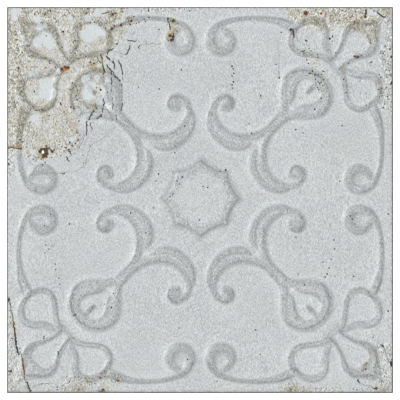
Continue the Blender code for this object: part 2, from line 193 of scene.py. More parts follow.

# The dark lines along the ribs of one eighth, partly print and partly painted shade on the ribs' steep flanks
# and feet: how dark, and their points (across, down, half width)
PRINT_AND_SHADE_LINES = (
    (SOFT, (
        (25.6, 27.2, 0.7), (22.5, 25.7, 1.0), (18.8, 25.6, 1.1), (15.0, 26.3, 1.1), (11.3, 28.2, 1.1),
        (7.5, 31.3, 1.1), (4.9, 35.0, 1.1), (3.6, 38.8, 1.1), (3.6, 42.5, 1.1), (4.7, 45.8, 1.0),
    )),
    (SOFT, ((19.8, 28.4, 0.5), (15.6, 28.5, 0.7), (12.3, 30.6, 0.7), (9.5, 33.0, 0.7), (7.5, 35.6, 0.6))),
    (CLEAR, (
        (41.2, 46.6, 1.0), (40.0, 43.3, 1.1), (36.9, 39.6, 1.1), (34.1, 36.8, 1.1), (31.3, 34.9, 1.1),
        (28.1, 33.5, 1.1), (25.0, 32.7, 1.1), (21.9, 32.4, 1.1), (18.8, 32.6, 1.1), (15.6, 33.5, 1.0),
        (12.5, 35.4, 1.0), (10.0, 37.8, 0.9), (8.4, 40.2, 0.8), (8.0, 42.0, 0.7),
    )),
    (SOFT, ((28.0, 30.5, 0.7), (31.0, 31.6, 0.9), (33.8, 33.8, 0.9), (38.0, 38.0, 0.8))),
    (SOFT, ((5.0, 46.3, 0.9), (6.8, 49.6, 1.0), (9.1, 51.9, 1.0))),
    (DARK, (
        (9.1, 51.9, 0.9), (11.9, 53.2, 1.1), (14.4, 53.0, 1.2), (16.3, 51.3, 1.2), (16.9, 49.4, 1.1),
        (16.1, 47.2, 0.9),
    )),
    (FAINT, ((16.1, 47.2, 0.9), (14.1, 45.9, 0.8), (11.9, 45.7, 0.8), (10.4, 46.8, 0.8), (10.6, 48.6, 0.8))),
    (SOFT, ((12.4, 48.2, 2.6), (13.6, 48.6, 2.6))),
    (FAINT, ((40.9, 46.3, 1.0), (42.0, 49.4, 1.0), (42.2, 53.1, 1.0), (42.0, 56.3, 1.0), (43.0, 61.0, 1.1))),
    (DARK, (
        (43.6, 62.4, 1.0), (45.9, 64.8, 1.1), (49.4, 66.3, 1.1), (53.1, 66.9, 1.1), (56.3, 66.4, 1.1),
        (60.0, 64.7, 1.1), (63.1, 62.6, 1.1),
    )),
    (CLEAR, (
        (46.6, 48.6, 0.5), (47.8, 51.3, 1.0), (48.4, 54.4, 1.0), (48.8, 57.5, 1.0), (50.0, 60.0, 0.9),
        (51.3, 61.5, 0.5),
    )),
    (DEEP, ((55.4, 55.4, 1.6), (57.4, 57.4, 2.1), (59.4, 59.4, 1.6))),
    (CLEAR, ((65.8, 71.3, 0.9), (62.5, 72.9, 0.9), (59.4, 73.9, 0.9), (55.5, 74.3, 0.9), (51.5, 74.8, 0.9))),
    (CLEAR, ((63.5, 75.2, 0.7), (60.0, 75.9, 0.8), (56.0, 76.1, 0.8), (52.0, 76.6, 0.8))),
    (CLEAR, (
        (51.5, 75.0, 1.0), (48.2, 76.7, 1.3), (46.7, 79.4, 1.4), (45.9, 82.5, 1.2), (46.4, 85.0, 1.1),
        (47.8, 87.0, 1.2),
    )),
    (SOFT, ((48.6, 79.0, 0.7), (48.0, 82.0, 0.7), (48.4, 85.5, 0.8), (50.0, 88.1, 0.9))),
    (CLEAR, (
        (49.4, 87.8, 1.1), (51.4, 90.6, 1.1), (54.0, 92.8, 1.1), (57.5, 93.9, 1.1), (61.6, 93.8, 1.1),
        (64.4, 91.9, 1.1), (65.6, 88.8, 1.0), (66.3, 85.6, 0.9), (66.8, 82.5, 0.9), (67.3, 76.5, 0.8),
    )),
    (CLEAR, (
        (50.0, 88.1, 0.9), (52.4, 90.0, 0.9), (55.2, 91.0, 0.9), (58.1, 91.2, 1.0), (60.6, 90.7, 1.0),
        (62.3, 88.8, 1.0), (63.0, 85.0, 1.0), (63.3, 81.3, 1.0), (64.1, 78.1, 0.9), (66.6, 73.0, 0.9),
    )),
    (DARK, ((65.0, 71.8, 1.0), (66.8, 70.4, 0.9), (68.4, 68.4, 0.7))),
    (DARK, ((67.4, 71.9, 0.8), (69.4, 73.8, 0.8), (71.3, 76.1, 0.9), (72.5, 78.4, 0.9), (73.4, 80.6, 0.9))),
    (CLEAR, ((73.4, 80.6, 0.9), (73.7, 83.1, 1.0), (74.1, 85.6, 1.1), (75.3, 88.1, 1.1), (77.8, 90.2, 1.1))),
    (DARK, (
        (77.8, 90.2, 1.0), (80.6, 91.2, 1.1), (84.4, 91.3, 1.1), (87.5, 90.8, 1.1), (90.6, 91.3, 1.0),
        (93.1, 93.0, 0.8),
    )),
    (FAINT, ((74.3, 82.5, 0.7), (75.9, 85.9, 0.9), (78.1, 87.5, 1.0), (81.3, 88.1, 1.0), (85.0, 85.0, 0.9))),
    (CLEAR, (
        (4.1, 85.0, 1.0), (5.6, 88.3, 1.0), (8.8, 90.9, 1.1), (12.5, 92.3, 1.1), (17.5, 93.8, 1.1),
        (23.1, 94.5, 1.1), (28.8, 94.7, 1.1), (35.0, 94.3, 1.1), (40.5, 93.8, 1.1),
    )),
    (SOFT, (
        (9.0, 89.8, 0.8), (13.0, 91.3, 0.8), (18.0, 92.6, 0.8), (24.0, 93.3, 0.8), (30.0, 93.1, 0.8),
        (35.0, 92.4, 0.8), (40.0, 90.9, 0.8), (43.8, 89.2, 0.8), (47.0, 87.5, 0.8),
    )),
    (DEEP, ((41.5, 93.9, 1.0), (43.5, 93.2, 1.1), (46.0, 92.3, 1.1), (48.6, 91.3, 0.9))),
    (SOFT, (
        (4.1, 85.0, 1.0), (3.3, 82.0, 1.0), (3.9, 79.0, 1.0), (6.0, 76.6, 1.0), (9.5, 75.1, 1.0),
        (13.5, 75.4, 1.0), (16.5, 77.4, 1.0), (17.8, 80.3, 1.1), (17.3, 83.2, 1.1), (15.6, 85.6, 1.1),
        (12.8, 87.4, 1.0),
    )),
    (SOFT, ((9.5, 81.2, 5.2), (12.0, 81.4, 5.2))),
)

# Hollows in one eighth: across, down, radius, depth in millimetres and how much lighter the glaze is
HOLLOWS = (
    (56.2, 84.0, 8.5, 0.16, 0.03),
    (80.0, 80.0, 8.5, 0.16, 0.05),
    (55.5, 55.5, 8.0, 0.12, 0.04),
    (47.5, 47.5, 3.5, 0.06, 0.05),
)

# Where the glaze has worn off, as outlines in millimetres from the tile's middle
WORN_PATCHES = (
    (
        (-100.0, 100.0), (-37.3, 100.0), (-37.8, 97.4), (-40.9, 95.8), (-37.8, 94.3), (-35.7, 95.3),
        (-34.2, 92.2), (-37.3, 89.6), (-39.4, 83.9), (-43.0, 81.3), (-45.6, 78.2), (-48.7, 76.1),
        (-49.7, 72.5), (-48.7, 66.3), (-49.7, 62.2), (-51.8, 58.0), (-52.8, 52.8), (-53.4, 46.6),
        (-55.4, 44.0), (-58.0, 45.6), (-61.1, 48.7), (-62.7, 47.7), (-62.2, 43.5), (-62.2, 39.4),
        (-62.7, 35.2), (-62.2, 31.1), (-64.2, 26.4), (-68.4, 23.8), (-72.5, 24.9), (-75.6, 22.3),
        (-79.8, 20.7), (-85.0, 20.7), (-89.6, 22.3), (-92.2, 26.4), (-100.0, 26.9),
    ),
    (
        (40.9, 100.0), (44.5, 98.4), (46.6, 93.2), (50.8, 92.2), (53.4, 90.1), (58.0, 89.6), (62.7, 88.1),
        (65.8, 87.0), (69.4, 88.6), (73.6, 89.1), (77.7, 88.6), (80.8, 87.5), (83.4, 86.5), (86.5, 83.9),
        (88.6, 80.8), (91.2, 83.9), (92.2, 88.6), (92.2, 93.2), (93.8, 94.8), (96.3, 94.8), (100.0, 95.8),
        (100.0, 100.0),
    ),
    (
        (-17.1, 94.8), (-11.9, 93.8), (-10.9, 90.1), (-12.4, 86.5), (-13.0, 81.8), (-16.6, 81.8),
        (-17.6, 85.0), (-16.1, 89.1),
    ),
)

# Where the glaze is only rubbed thin
RUBBED_PATCHES = (
    (
        (93.2, 95.3), (100.0, 95.8), (100.0, 45.6), (92.2, 45.6), (91.7, 52.8), (94.3, 62.2),
        (93.8, 69.4), (91.2, 73.6), (93.2, 78.7), (96.3, 81.8), (97.4, 89.1),
    ),
    (
        (89.6, -75.1), (100.0, -72.5), (100.0, -99.5), (82.9, -99.5), (83.9, -96.3), (90.1, -96.3),
        (93.8, -92.2), (91.2, -87.0), (90.1, -80.8),
    ),
    (
        (-71.5, -91.2), (-65.3, -89.1), (-60.1, -90.1), (-53.9, -91.2), (-49.7, -87.5), (-45.6, -88.1),
        (-39.4, -91.7), (-39.4, -96.3), (-49.7, -93.2), (-54.9, -95.8), (-65.3, -99.5), (-72.5, -99.5),
    ),
    (
        (50.2, 82.9), (54.9, 80.8), (58.5, 76.1), (63.2, 71.5), (66.3, 66.3), (67.3, 59.1), (65.3, 53.4),
        (63.2, 50.2), (60.1, 54.4), (60.1, 61.1), (57.5, 66.8), (53.9, 72.5), (50.2, 77.7),
    ),
    (
        (-100.0, 72.5), (-93.8, 72.5), (-92.2, 26.9), (-100.0, 26.9),
    ),
    (
        (-37.3, 100.0), (0.0, 100.0), (0.0, 97.9), (-31.1, 96.9),
    ),
    (
        (42.5, -96.3), (63.2, -96.9), (75.1, -97.9), (75.1, -99.5), (41.4, -99.5),
    ),
    (
        (-100.0, 25.9), (-95.8, 24.9), (-96.3, 11.4), (-100.0, 9.3),
    ),
    (
        (-100.0, -46.6), (-97.4, -51.8), (-95.3, -77.7), (-91.2, -93.2), (-97.4, -97.4), (-100.0, -97.4),
    ),
)

# Islands where it has stayed whole: across, up and radius
WHOLE_ISLANDS = (
    (-83.4, 81.8, 3.1), (-79.8, 82.9, 3.6), (-77.7, 80.3, 2.3), (-81.3, 85.5, 1.8), (-59.1, 85.5, 3.1),
    (-55.4, 87.5, 4.1), (-52.3, 86.5, 3.6), (-57.0, 83.4, 2.1), (-79.8, 60.1, 3.9), (-77.7, 55.4, 3.6),
    (-81.3, 54.9, 2.6), (-75.6, 62.2, 1.8), (-85.0, 52.8, 1.6), (-71.7, 61.1, 1.2), (-71.5, 58.0, 1.2),
    (-71.5, 54.9, 1.3), (-69.4, 81.3, 1.6), (-69.4, 78.2, 1.6), (-95.8, 97.4, 2.1), (-96.3, 94.3, 2.1),
    (-94.3, 98.4, 1.6), (-84.4, 93.2, 2.1), (-82.9, 89.6, 2.1), (-80.3, 90.1, 1.6), (-88.1, 95.8, 1.3),
    (-74.1, 94.3, 1.0), (-67.3, 93.8, 1.6), (-70.4, 92.2, 1.0), (-42.5, 92.2, 1.6), (-39.9, 93.2, 1.6),
    (-52.8, 96.9, 2.1), (-49.7, 98.4, 1.6), (-58.0, 93.8, 1.8), (-55.4, 93.2, 1.6), (-91.2, 83.9, 1.6),
    (-90.7, 81.3, 1.6), (-87.5, 65.3, 1.6), (-84.4, 66.3, 1.3), (-73.0, 66.8, 1.6), (-59.1, 62.2, 2.6),
    (-55.9, 59.1, 2.6), (-58.0, 54.4, 3.1), (-53.4, 63.2, 1.8), (-52.8, 69.4, 1.0), (-94.8, 52.8, 1.8),
    (-97.4, 44.0, 1.6), (-96.9, 31.6, 1.6), (-85.5, 42.5, 2.3), (-83.9, 39.4, 1.6), (-78.7, 38.3, 1.3),
    (-86.5, 24.9, 1.6), (-63.2, 45.6, 1.6), (-64.2, 50.2, 1.3), (-50.8, 70.4, 0.8), (-49.7, 68.4, 0.8),
    (-66.3, 31.1, 1.6), (-71.5, 25.4, 1.0), (-60.1, 42.5, 1.6), (88.6, 97.4, 2.0), (91.2, 96.1, 1.5),
    (93.8, 95.3, 0.8), (-98.4, 97.4, 0.8), (-48.2, 71.0, 1.3), (-47.9, 62.2, 1.5), (-50.8, 56.5, 1.9),
    (-43.5, 74.1, 1.6), (-51.3, 40.9, 1.6), (-57.8, 58.3, 2.6),
)

# Cracks: kind, width, and the points (across, up) they run through
CRACKS = (
    ("dark", 0.7, ((-37.3, 82.6), (-35.2, 82.4), (-33.4, 82.1))),
    ("faint", 0.8, ((-35.2, 85.0), (-34.2, 86.2))),
    ("dark", 0.6, ((-31.9, 78.7), (-31.1, 80.0))),
    ("faint", 0.6, ((-28.0, 82.4), (-27.5, 81.3))),
    ("faint", 0.7, ((-25.9, 80.8), (-24.3, 81.2))),
    ("faint", 0.5, ((-30.6, 80.3), (-28.0, 80.3), (-25.9, 80.8))),
    ("faint", 0.5, ((-23.3, 80.8), (-20.7, 80.8))),
    ("dark", 0.5, ((-50.8, 96.3), (-49.2, 96.9), (-47.7, 97.1))),
    ("dark", 0.7, ((-16.6, 94.3), (-16.1, 92.2), (-15.5, 89.6), (-15.3, 88.1))),
    ("dark", 0.9, ((-13.7, 86.0), (-13.7, 82.9))),
    ("faint", 0.7, ((-59.6, 33.2), (-61.1, 30.0), (-62.7, 26.4), (-64.8, 23.3))),
    ("faint", 0.5, ((-60.1, 34.2), (-62.2, 30.0), (-64.2, 25.9))),
    ("faint", 0.7, ((-61.1, 45.6), (-60.6, 43.0))),
    ("faint", 0.5, ((-57.0, 35.7), (-58.5, 31.6), (-60.1, 28.5))),
    ("dark", 0.7, ((-67.9, 25.6), (-66.8, 23.8))),
    ("dark", 0.7, ((-68.9, 22.3), (-67.9, 20.2))),
    ("faint", 0.5, ((-64.8, 24.3), (-67.3, 22.3), (-69.4, 20.7))),
    ("brown", 0.6, ((-99.5, 27.5), (-96.3, 26.9), (-92.2, 26.4))),
    ("faint", 0.5, ((-92.2, 25.9), (-92.2, 22.8), (-91.2, 17.6))),
    ("faint", 0.5, (
        (-45.6, 36.8), (-49.4, 32.6), (-52.8, 30.6), (-57.0, 28.0), (-58.0, 24.3), (-58.5, 20.7),
        (-60.6, 17.6), (-64.0, 15.0),
    )),
    ("faint", 0.6, ((-64.2, 15.0), (-69.4, 14.5), (-72.5, 14.0))),
    ("faint", 0.5, ((-72.5, 14.0), (-77.7, 14.0), (-85.0, 13.2), (-90.7, 11.9))),
    ("dark", 0.6, ((-72.0, 13.7), (-69.9, 14.0))),
    ("faint", 0.4, ((-57.5, 20.7), (-60.1, 16.6))),
    ("faint", 0.5, ((-88.1, 19.7), (-86.0, 18.1), (-82.9, 18.1), (-79.8, 19.2))),
    ("dark", 0.5, ((-63.7, 35.5), (-63.5, 34.7))),
    ("faint", 0.5, ((39.9, 82.4), (40.4, 79.3))),
    ("faint", 0.5, ((40.4, 77.7), (40.9, 73.6), (40.9, 67.3), (41.1, 63.2))),
    ("faint", 0.6, ((53.4, 77.7), (54.9, 74.1))),
    ("faint", 0.6, ((54.9, 73.6), (55.9, 70.4))),
    ("faint", 0.6, ((94.3, 94.8), (96.9, 95.1))),
    ("dark", 0.7, ((86.0, 98.4), (85.7, 95.8))),
    ("faint", 0.6, ((97.4, 92.7), (96.9, 89.1))),
    ("faint", 0.8, ((96.6, 86.5), (96.1, 82.9))),
    ("dark", 0.9, ((48.2, 88.1), (48.6, 84.4))),
    ("faint", 0.5, ((50.8, 81.8), (49.7, 86.0), (50.2, 88.1))),
    ("faint", 0.5, ((65.3, 79.3), (66.3, 76.7))),
    ("faint", 0.6, ((60.1, 80.8), (60.6, 78.2))),
    ("faint", 0.5, ((-95.8, -80.8), (-96.3, -83.9), (-97.1, -87.5))),
    ("faint", 0.5, ((-87.0, -96.9), (-84.4, -95.6), (-80.8, -95.1), (-76.7, -94.8))),
    ("dark", 0.8, ((81.6, -93.2), (82.4, -94.5))),
    ("faint", 0.6, ((82.4, -94.3), (84.4, -95.6), (88.1, -96.3), (90.1, -97.6))),
    ("dark", 0.8, ((94.3, -75.1), (95.1, -76.1))),
    ("faint", 0.6, ((95.3, -76.7), (96.9, -81.3), (97.9, -83.9))),
    ("dark", 1.0, ((98.4, -83.9), (98.9, -86.0))),
    ("faint", 0.5, ((93.8, -42.0), (90.9, -48.7))),
    ("faint", 0.4, ((-48.7, -15.0), (-44.0, -23.3))),
    ("faint", 0.6, ((91.2, -80.8), (91.7, -83.9))),
    ("brown", 0.6, ((-51.3, 75.6), (-51.0, 73.6), (-50.5, 71.0), (-50.2, 69.4))),
    ("brown", 1.1, ((-50.2, 68.9), (-49.7, 67.3), (-49.2, 66.1))),
    ("dark", 0.6, ((-49.9, 65.8), (-49.9, 63.7))),
    ("faint", 0.6, ((-49.5, 63.2), (-50.0, 61.1))),
    ("dark", 0.5, ((-53.1, 73.8), (-52.3, 72.0), (-51.3, 71.0))),
    ("dark", 1.1, ((-48.4, 74.5), (-47.6, 73.7), (-46.8, 72.7))),
    ("dark", 0.8, ((-48.0, 69.5), (-46.9, 68.4), (-45.8, 66.9), (-45.9, 65.0))),
    ("dark", 0.6, ((-45.3, 66.6), (-44.0, 64.0), (-42.5, 62.7), (-41.3, 61.4))),
    ("faint", 0.7, ((-41.3, 61.4), (-40.4, 58.5), (-40.4, 53.9), (-40.2, 50.2))),
    ("dark", 0.6, ((-40.1, 50.2), (-40.2, 48.4), (-40.8, 46.6))),
    ("dark", 0.7, ((-45.8, 62.9), (-45.8, 60.1))),
    ("faint", 0.7, ((-45.9, 59.6), (-45.8, 56.5), (-45.3, 53.9), (-45.2, 49.7))),
    ("dark", 0.7, ((-45.2, 49.6), (-45.2, 47.4))),
    ("dark", 0.8, ((-44.3, 70.3), (-44.3, 68.6))),
    ("dark", 0.8, ((-42.0, 71.8), (-41.0, 70.1), (-40.6, 68.2))),
    ("dark", 0.6, ((-40.2, 66.6), (-39.9, 65.0))),
    ("faint", 0.6, ((-40.1, 64.8), (-40.2, 59.1))),
    ("dark", 0.8, ((-38.3, 75.4), (-37.3, 76.9), (-36.5, 78.2), (-36.3, 79.5))),
    ("faint", 0.6, ((-45.6, 77.7), (-43.0, 76.5), (-40.9, 75.6), (-38.3, 75.6))),
    ("dark", 0.7, ((-47.1, 77.4), (-47.8, 75.6))),
    ("dark", 0.6, ((-46.6, 77.4), (-44.8, 78.5))),
    ("dark", 0.7, ((-50.0, 52.3), (-49.8, 50.2), (-49.9, 48.7))),
    ("dark", 0.7, ((-50.2, 47.4), (-50.5, 45.6))),
    ("faint", 1.0, ((-49.8, 48.7), (-48.4, 47.5), (-46.6, 45.1))),
    ("dark", 0.7, ((-50.8, 44.2), (-51.8, 43.0), (-53.4, 42.2))),
    ("dark", 0.45, ((-53.9, 49.2), (-53.7, 47.1))),
    ("dark", 0.75, ((-54.9, 46.4), (-55.7, 44.8), (-56.7, 43.3), (-57.6, 41.6))),
    ("dark", 0.68, ((-58.3, 40.7), (-58.7, 38.3), (-58.6, 36.3), (-58.8, 33.9))),
    ("dark", 0.52, ((-56.5, 39.9), (-56.7, 38.3), (-55.9, 36.5))),
    ("faint", 0.5, ((-56.5, 39.9), (-54.9, 40.5))),
    ("dark", 0.5, ((-43.3, 44.0), (-43.0, 41.2))),
    ("faint", 0.7, ((-46.6, 44.8), (-45.8, 42.7), (-44.8, 40.7))),
    ("faint", 0.6, ((-44.0, 38.3), (-44.9, 36.8), (-45.3, 35.7))),
    ("dark", 0.9, ((86.0, 98.9), (85.6, 95.8))),
    ("faint", 0.7, ((86.0, 98.4), (88.6, 98.9), (91.2, 97.9))),
    ("dark", 1.0, ((91.9, 97.1), (93.2, 96.3), (94.8, 94.9), (95.8, 94.7))),
    ("dark", 0.55, ((-98.9, -50.2), (-98.2, -54.4), (-97.1, -59.1), (-96.6, -63.2))),
    ("brown", 0.9, ((-96.5, -63.2), (-96.0, -67.3), (-95.7, -70.4))),
    ("dark", 1.2, ((-95.7, -69.4), (-95.3, -73.0), (-94.6, -77.2), (-94.3, -78.5))),
    ("dark", 0.7, ((-94.8, -78.5), (-93.5, -80.0))),
    ("dark", 0.65, ((-92.5, -79.8), (-91.8, -82.9), (-91.5, -87.0))),
    ("brown", 0.6, ((-91.9, -81.8), (-91.2, -87.0), (-90.9, -91.7))),
    ("faint", 0.9, ((-90.9, -92.2), (-90.1, -94.8))),
    ("dark", 1.0, ((-89.5, -94.3), (-88.8, -96.3), (-88.3, -98.2), (-87.5, -99.5))),
    ("faint", 0.5, ((-87.0, -96.9), (-84.4, -95.6), (-80.8, -95.1), (-76.7, -94.8))),
)

# Stains of each kind: across, up and radius
SPOTS = {
    "rust": (
        (54.9, 96.6, 1.2), (62.7, 96.5, 0.7), (-71.2, 67.3, 1.2), (-69.7, 68.2, 1.3), (-68.4, 68.1, 0.9),
    ),
    "umber": (
        (54.7, 96.8, 1.0), (62.7, 96.6, 0.4), (85.5, 94.8, 0.7), (83.4, 94.4, 0.3), (80.0, 92.2, 0.5),
        (-71.5, 67.7, 0.8), (-69.9, 68.9, 0.6), (-69.0, 68.2, 0.5), (-68.1, 68.5, 0.7),
        (-56.7, 71.3, 0.5), (-54.8, 70.7, 0.5), (-56.2, 70.2, 0.3), (-81.8, 25.6, 1.3),
        (-79.9, 25.9, 1.2), (-80.5, 23.3, 1.3), (-79.5, 24.1, 1.1), (-82.6, 24.9, 0.8),
        (-78.0, 26.7, 0.5), (-77.2, 25.9, 0.5), (-75.5, 26.0, 0.4), (-78.8, 26.9, 0.4),
        (-92.7, 26.7, 0.7), (-15.5, 85.0, 0.8), (-14.8, 82.6, 0.8), (-13.7, 92.7, 0.8),
        (-45.1, 96.1, 0.7), (-43.6, 96.6, 0.5), (-35.5, 92.7, 0.6), (-36.1, 90.9, 0.5),
        (-44.3, 89.9, 0.5), (-40.9, 90.4, 0.6), (-45.6, 88.6, 0.7), (47.1, 88.1, 0.8), (80.0, 74.4, 0.6),
        (81.6, 74.0, 0.7), (83.4, 74.9, 0.4), (-52.3, -98.7, 0.4), (-62.7, -98.2, 0.5),
        (-50.2, -98.4, 0.8), (-42.5, -93.5, 0.5), (-59.3, -91.9, 0.3), (-67.6, -94.0, 0.4),
        (-64.8, -91.7, 0.3), (-51.5, -92.0, 0.5), (-56.2, -94.5, 0.3), (-49.2, -91.4, 0.3),
        (91.2, -97.6, 0.7), (85.7, -87.5, 0.5), (86.2, -84.4, 0.4), (-97.9, -88.6, 0.7),
        (-99.2, -88.6, 0.6), (-97.2, -71.7, 0.3), (-57.8, 99.2, 0.6), (-58.8, 96.6, 0.5),
        (-73.6, 99.5, 0.6), (-80.3, 96.1, 0.5), (-85.5, 96.2, 0.4), (-77.4, 97.9, 0.5),
        (-95.7, 87.3, 0.4), (-95.4, 85.5, 0.4), (-94.9, 82.9, 0.4), (-94.5, 80.3, 0.4),
        (-94.0, 68.6, 0.5), (-94.3, 63.7, 0.4),
    ),
    "ochre": (
        (83.9, 94.3, 0.8), (-70.2, 67.3, 2.2), (-55.7, 70.2, 2.3), (-57.8, 69.9, 1.2), (-80.8, 24.6, 3.4),
        (-76.7, 25.9, 1.7), (-15.0, 85.5, 1.9), (-14.2, 89.1, 1.0), (-99.5, 36.3, 1.0),
        (-99.4, 34.2, 1.0), (-95.1, 81.3, 0.8), (-95.6, 86.5, 0.7), (-94.3, 71.0, 0.9),
        (-93.8, 66.3, 0.8),
    ),
    "pale": (
        (-81.3, 24.7, 0.6), (-81.3, 25.3, 0.4),
    ),
    "soot": (
        (-79.5, 28.0, 0.5), (-81.3, 22.0, 0.5), (-79.3, 22.3, 0.5), (-83.1, 25.3, 0.6),
        (-76.5, 25.0, 0.7), (-13.8, 84.4, 0.6), (-16.4, 82.4, 0.4), (-16.6, 94.2, 0.4), (48.5, 85.0, 0.4),
    ),
}

# Soft dirt of each kind: across, up, radius and strength
TINTS = {
    "brown": (
        (-91.2, 93.5, 2.3, 0.9), (-77.2, 90.1, 2.1, 0.7), (-75.1, 87.5, 1.8, 0.7),
        (-73.3, 85.0, 1.6, 0.8), (-63.2, 90.4, 2.3, 0.6), (-63.7, 79.3, 1.6, 0.7),
        (-64.8, 74.1, 1.8, 0.7), (-60.1, 97.9, 2.8, 0.8), (-63.2, 98.4, 2.1, 0.5),
        (-77.7, 98.4, 2.1, 0.6), (-47.1, 83.9, 2.3, 1.0), (-49.7, 81.3, 1.8, 0.6),
        (-46.1, 87.0, 1.8, 0.9), (-40.9, 89.9, 1.9, 0.9), (-35.7, 92.2, 1.6, 0.8),
        (-95.6, 63.7, 1.0, 0.5), (-54.4, 55.4, 1.6, 0.8), (-54.6, 49.7, 1.8, 0.8),
        (-96.9, 87.0, 1.6, 0.4), (-97.4, 76.7, 2.1, 0.4), (-91.7, 45.6, 2.6, 0.8),
        (-92.7, 32.1, 1.6, 0.6), (-81.3, 46.6, 1.6, 0.7), (-67.3, 42.5, 3.6, 0.5),
        (-65.8, 38.9, 2.6, 0.5), (-67.9, 47.7, 2.1, 0.35), (81.3, 92.2, 3.1, 0.9), (78.7, 88.6, 1.8, 0.7),
        (84.4, 90.7, 2.6, 0.5), (88.6, 90.7, 3.1, 0.5), (89.6, 86.0, 2.3, 0.5), (96.3, 97.4, 2.8, 0.9),
        (98.9, 97.4, 1.8, 0.8), (74.6, 68.4, 2.1, 0.4), (74.1, 65.3, 1.8, 0.35), (75.6, 59.1, 2.1, 0.25),
        (92.7, 61.1, 1.8, 0.6), (93.2, 56.5, 1.8, 0.5), (92.7, 51.3, 1.6, 0.4), (-96.3, -64.8, 1.3, 0.5),
        (-62.7, -97.4, 3.6, 0.6), (-49.7, -97.9, 3.1, 0.6), (-57.0, -94.3, 3.1, 0.5),
        (-51.3, -91.7, 2.1, 0.6), (-43.0, -93.2, 2.6, 0.6), (85.5, -87.0, 2.6, 0.6),
        (88.1, -90.7, 3.1, 0.25), (85.0, -72.5, 2.6, 0.25), (89.1, -78.7, 2.6, 0.25),
        (-40.9, 98.4, 2.1, 0.5), (-15.0, 85.0, 2.3, 0.7), (-55.9, 69.4, 2.6, 0.6),
        (-43.3, 60.1, 2.6, 0.3), (-42.5, 54.9, 2.8, 0.4), (-42.2, 49.7, 2.6, 0.35),
        (-45.1, 45.6, 2.6, 0.25), (-95.8, 28.0, 1.8, 0.85), (-98.4, 28.0, 1.8, 0.85),
        (-93.5, 27.5, 1.5, 0.85), (-45.1, 95.3, 2.0, 0.85), (-35.2, 92.2, 1.5, 0.85),
        (47.1, 86.5, 1.4, 0.85), (81.8, 74.3, 2.0, 0.85), (-64.2, -97.9, 2.5, 0.85),
        (-60.6, -97.6, 2.0, 0.85), (-48.2, -98.4, 1.8, 0.85), (-89.1, -97.4, 1.5, 0.85),
        (-43.0, -92.7, 1.5, 0.85), (46.1, -97.9, 2.1, 0.85), (49.2, -97.7, 1.9, 0.85),
        (53.4, -98.4, 1.5, 0.85), (91.7, -97.4, 1.5, 0.85), (95.8, -98.9, 1.8, 0.85),
        (85.5, -86.0, 2.1, 0.85), (-98.2, -89.6, 1.1, 0.85), (-97.4, -69.9, 1.2, 0.85),
    ),
    "olive": (
        (-85.0, 75.6, 2.3, 0.8), (-80.3, 74.1, 2.1, 0.6), (-76.1, 72.5, 1.8, 0.6),
        (-72.3, 80.3, 1.1, 0.5), (-62.2, 81.8, 1.8, 0.9), (-60.6, 74.1, 2.1, 0.8),
        (-55.9, 75.1, 2.3, 0.9), (-80.8, 96.3, 1.3, 0.9), (-84.4, 96.3, 1.0, 0.6),
        (-90.1, 97.9, 1.6, 0.6), (-51.3, 83.4, 2.1, 0.7), (-43.0, 87.0, 2.3, 0.5),
        (-41.4, 84.4, 1.6, 0.4), (-92.2, 58.0, 2.1, 0.8), (-91.2, 54.9, 1.8, 0.8),
        (-93.8, 61.6, 1.6, 0.5), (-88.6, 88.1, 2.1, 0.6), (-86.5, 86.5, 1.8, 0.6),
        (-92.7, 90.1, 2.1, 0.4), (-65.8, 59.6, 2.1, 0.6), (-64.8, 55.9, 1.8, 0.6),
        (-92.2, 75.6, 2.1, 0.3), (-98.4, 67.3, 2.1, 0.4), (-97.4, 62.2, 2.1, 0.4),
        (-92.2, 40.9, 2.6, 0.7), (-92.5, 36.3, 2.1, 0.7), (-88.6, 44.5, 1.8, 0.7),
        (-76.7, 49.7, 2.1, 0.8), (-79.3, 47.1, 1.8, 0.8), (-74.3, 51.8, 1.3, 0.6),
        (-85.0, 48.2, 2.1, 0.5), (-64.2, 35.7, 2.1, 0.4), (-80.3, 42.5, 2.6, 0.35),
        (-86.5, 34.2, 2.6, 0.35), (-71.0, 34.7, 3.1, 0.3), (-82.9, 31.1, 3.1, 0.25),
        (54.4, 93.2, 3.6, 0.7), (59.6, 93.2, 3.6, 0.6), (64.2, 90.1, 2.1, 0.6), (69.4, 94.3, 3.1, 0.6),
        (75.1, 93.2, 3.6, 0.5), (47.1, 97.9, 2.6, 0.6), (-98.9, -95.3, 2.6, 0.5),
        (-96.3, -97.9, 3.1, 0.5), (-70.4, -97.9, 2.6, 0.4), (-77.7, -97.9, 3.1, 0.35),
        (47.7, -97.4, 4.7, 0.6), (57.0, -98.4, 3.6, 0.4), (91.7, -97.4, 2.1, 0.5),
        (72.5, -98.9, 2.6, 0.3), (95.8, -98.4, 3.1, 0.5), (-45.1, 95.8, 2.6, 0.8),
        (-14.0, 92.7, 2.3, 0.7), (-53.9, 76.7, 1.6, 0.6), (-55.4, 67.3, 1.6, 0.4),
        (-49.7, 67.3, 2.1, 0.3),
    ),
}

